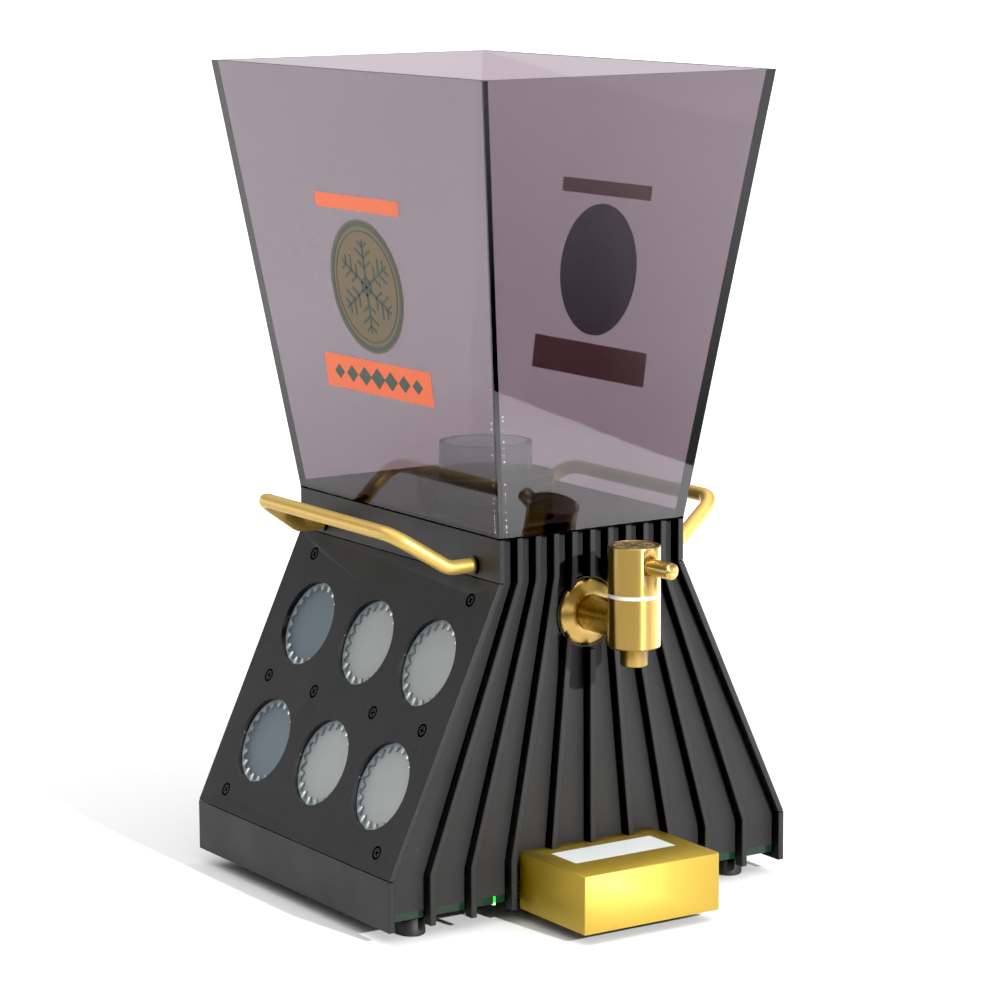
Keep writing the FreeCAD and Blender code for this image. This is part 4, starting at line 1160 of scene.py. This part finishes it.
# --- Studio ---------------------------------------------------------------------------
class DISPENSER_OT_studio(bpy.types.Operator):
    """White paper floor, frontal key light, overhead sky and camera"""

    bl_idname = "dispenser.studio"
    bl_label = "Studio"

    camera_place = (-1.18218, -1.81005, 0.60832)
    camera_heading = math.radians(33.11)
    camera_dip = math.radians(9.77)
    camera_roll = -0.006
    camera_lens = 129.05
    key_azimuth = math.radians(5.5)       # from the front normal towards +X
    key_height = math.radians(20.5)
    key_distance = 4.0
    key_size = 0.11
    key_power = 230.0
    key_aim = (0, -0.05, 0.22)
    floor_width = 50.0
    black_level = 0.009
    white_level = 0.95

    def execute(self, context):
        self.floor()
        self.key()
        self.sky(context)
        self.camera(context)
        self.grade(context.scene.view_settings)
        return {"FINISHED"}

    def grade(self, view):
        """Plain transform with a little contrast: deep shade falls to black."""
        view.view_transform = "Standard"
        view.use_curve_mapping = True
        view.curve_mapping.black_level = (self.black_level,) * 3
        view.curve_mapping.white_level = (self.white_level,) * 3
        view.curve_mapping.update()

    def floor(self):
        paper = bmesh.new()
        bmesh.ops.create_grid(paper, x_segments=1, y_segments=1, size=self.floor_width / 2)
        new_object("floor_paper", paper, white_paper())

    def key(self):
        light = bpy.data.lights.new("key_softbox", "AREA")
        light.shape = "DISK"
        light.size = self.key_size
        light.energy = self.key_power
        key = bpy.data.objects.new("key_softbox", light)
        level = math.cos(self.key_height)
        toward = Vector((
            math.sin(self.key_azimuth) * level,
            -math.cos(self.key_azimuth) * level,
            math.sin(self.key_height),
        ))
        key.matrix_world = (
            Matrix.Translation(Vector(self.key_aim) + toward * self.key_distance)
            @ toward.to_track_quat("Z", "Y").to_matrix().to_4x4()
        )
        bpy.context.scene.collection.objects.link(key)

    def sky(self, context):
        """Light from above between even walls, with a bright skirting round the floor; the
        camera sees plain white."""
        world = bpy.data.worlds.new("studio_sky")
        context.scene.world = world
        world.use_nodes = True
        tree = world.node_tree
        way = add_node(tree, "ShaderNodeTexCoord").outputs["Generated"]
        up = add_node(tree, "ShaderNodeSeparateXYZ", {"Vector": way}).outputs[2]
        across = add_node(tree, "ShaderNodeVectorMath", {0: way, 1: (-0.9, 0.44, 0)},
                          operation="DOT_PRODUCT").outputs["Value"]
        light = layered(tree, 0.0, [
            ("ADD", up, 0.45, 0.85, 0.0, 1.7, "SMOOTHSTEP"),
            ("ADD", across, -0.7, 0.9, 0.32, 0.3),
            ("ADD", up, 0.03, 0.2, 1.4, 0.0, "SMOOTHSTEP"),
        ])
        seen = add_node(tree, "ShaderNodeLightPath").outputs["Is Camera Ray"]
        level = add_node(tree, "ShaderNodeMix", {0: seen, 2: light, 3: 1.0}).outputs[0]
        background = tree.nodes["Background"]
        plug(tree, level, background.inputs["Strength"])
        plug(tree, WHITE, background.inputs["Color"])

    def camera(self, context):
        lens = bpy.data.cameras.new("camera")
        lens.lens = self.camera_lens
        lens.sensor_width = 36.0
        lens.clip_end = 100.0
        camera = bpy.data.objects.new("camera", lens)
        camera.matrix_world = (
            Matrix.Translation(self.camera_place)
            @ Matrix.Rotation(-self.camera_heading, 4, "Z")
            @ Matrix.Rotation(math.pi / 2 - self.camera_dip, 4, "X")
            @ Matrix.Rotation(self.camera_roll, 4, "Z")
        )
        context.scene.collection.objects.link(camera)
        context.scene.camera = camera


# --- Panel and registration -----------------------------------------------------------
OPERATORS = (
    DISPENSER_OT_tank,
    DISPENSER_OT_badges,
    DISPENSER_OT_base,
    DISPENSER_OT_lamps,
    DISPENSER_OT_screws,
    DISPENSER_OT_tap,
    DISPENSER_OT_handles,
    DISPENSER_OT_stand,
    DISPENSER_OT_power,
    DISPENSER_OT_studio,
)


class DISPENSER_PT_parts(bpy.types.Panel):
    """Lists the dispenser's pieces, sizes and colours"""

    bl_idname = "DISPENSER_PT_parts"
    bl_label = "Dispenser"
    bl_space_type = "VIEW_3D"
    bl_region_type = "UI"
    bl_category = "Dispenser"

    def draw(self, context):
        for operator in OPERATORS:
            self.layout.operator(operator.bl_idname)
        for group in (context.scene.dispenser_sizes, context.scene.dispenser_colours):
            for name in group.__annotations__:
                self.layout.prop(group, name)


CLASSES = (DispenserSizes, DispenserColours, *OPERATORS, DISPENSER_PT_parts)


def register():
    for item in CLASSES:
        bpy.utils.register_class(item)
    bpy.types.Scene.dispenser_sizes = PointerProperty(type=DispenserSizes)
    bpy.types.Scene.dispenser_colours = PointerProperty(type=DispenserColours)


def unregister():
    del bpy.types.Scene.dispenser_colours
    del bpy.types.Scene.dispenser_sizes
    for item in reversed(CLASSES):
        bpy.utils.unregister_class(item)


def main():
    register()
    for operator in OPERATORS:
        group, name = operator.bl_idname.split(".")
        getattr(getattr(bpy.ops, group), name)()


if __name__ == "__main__":
    main()
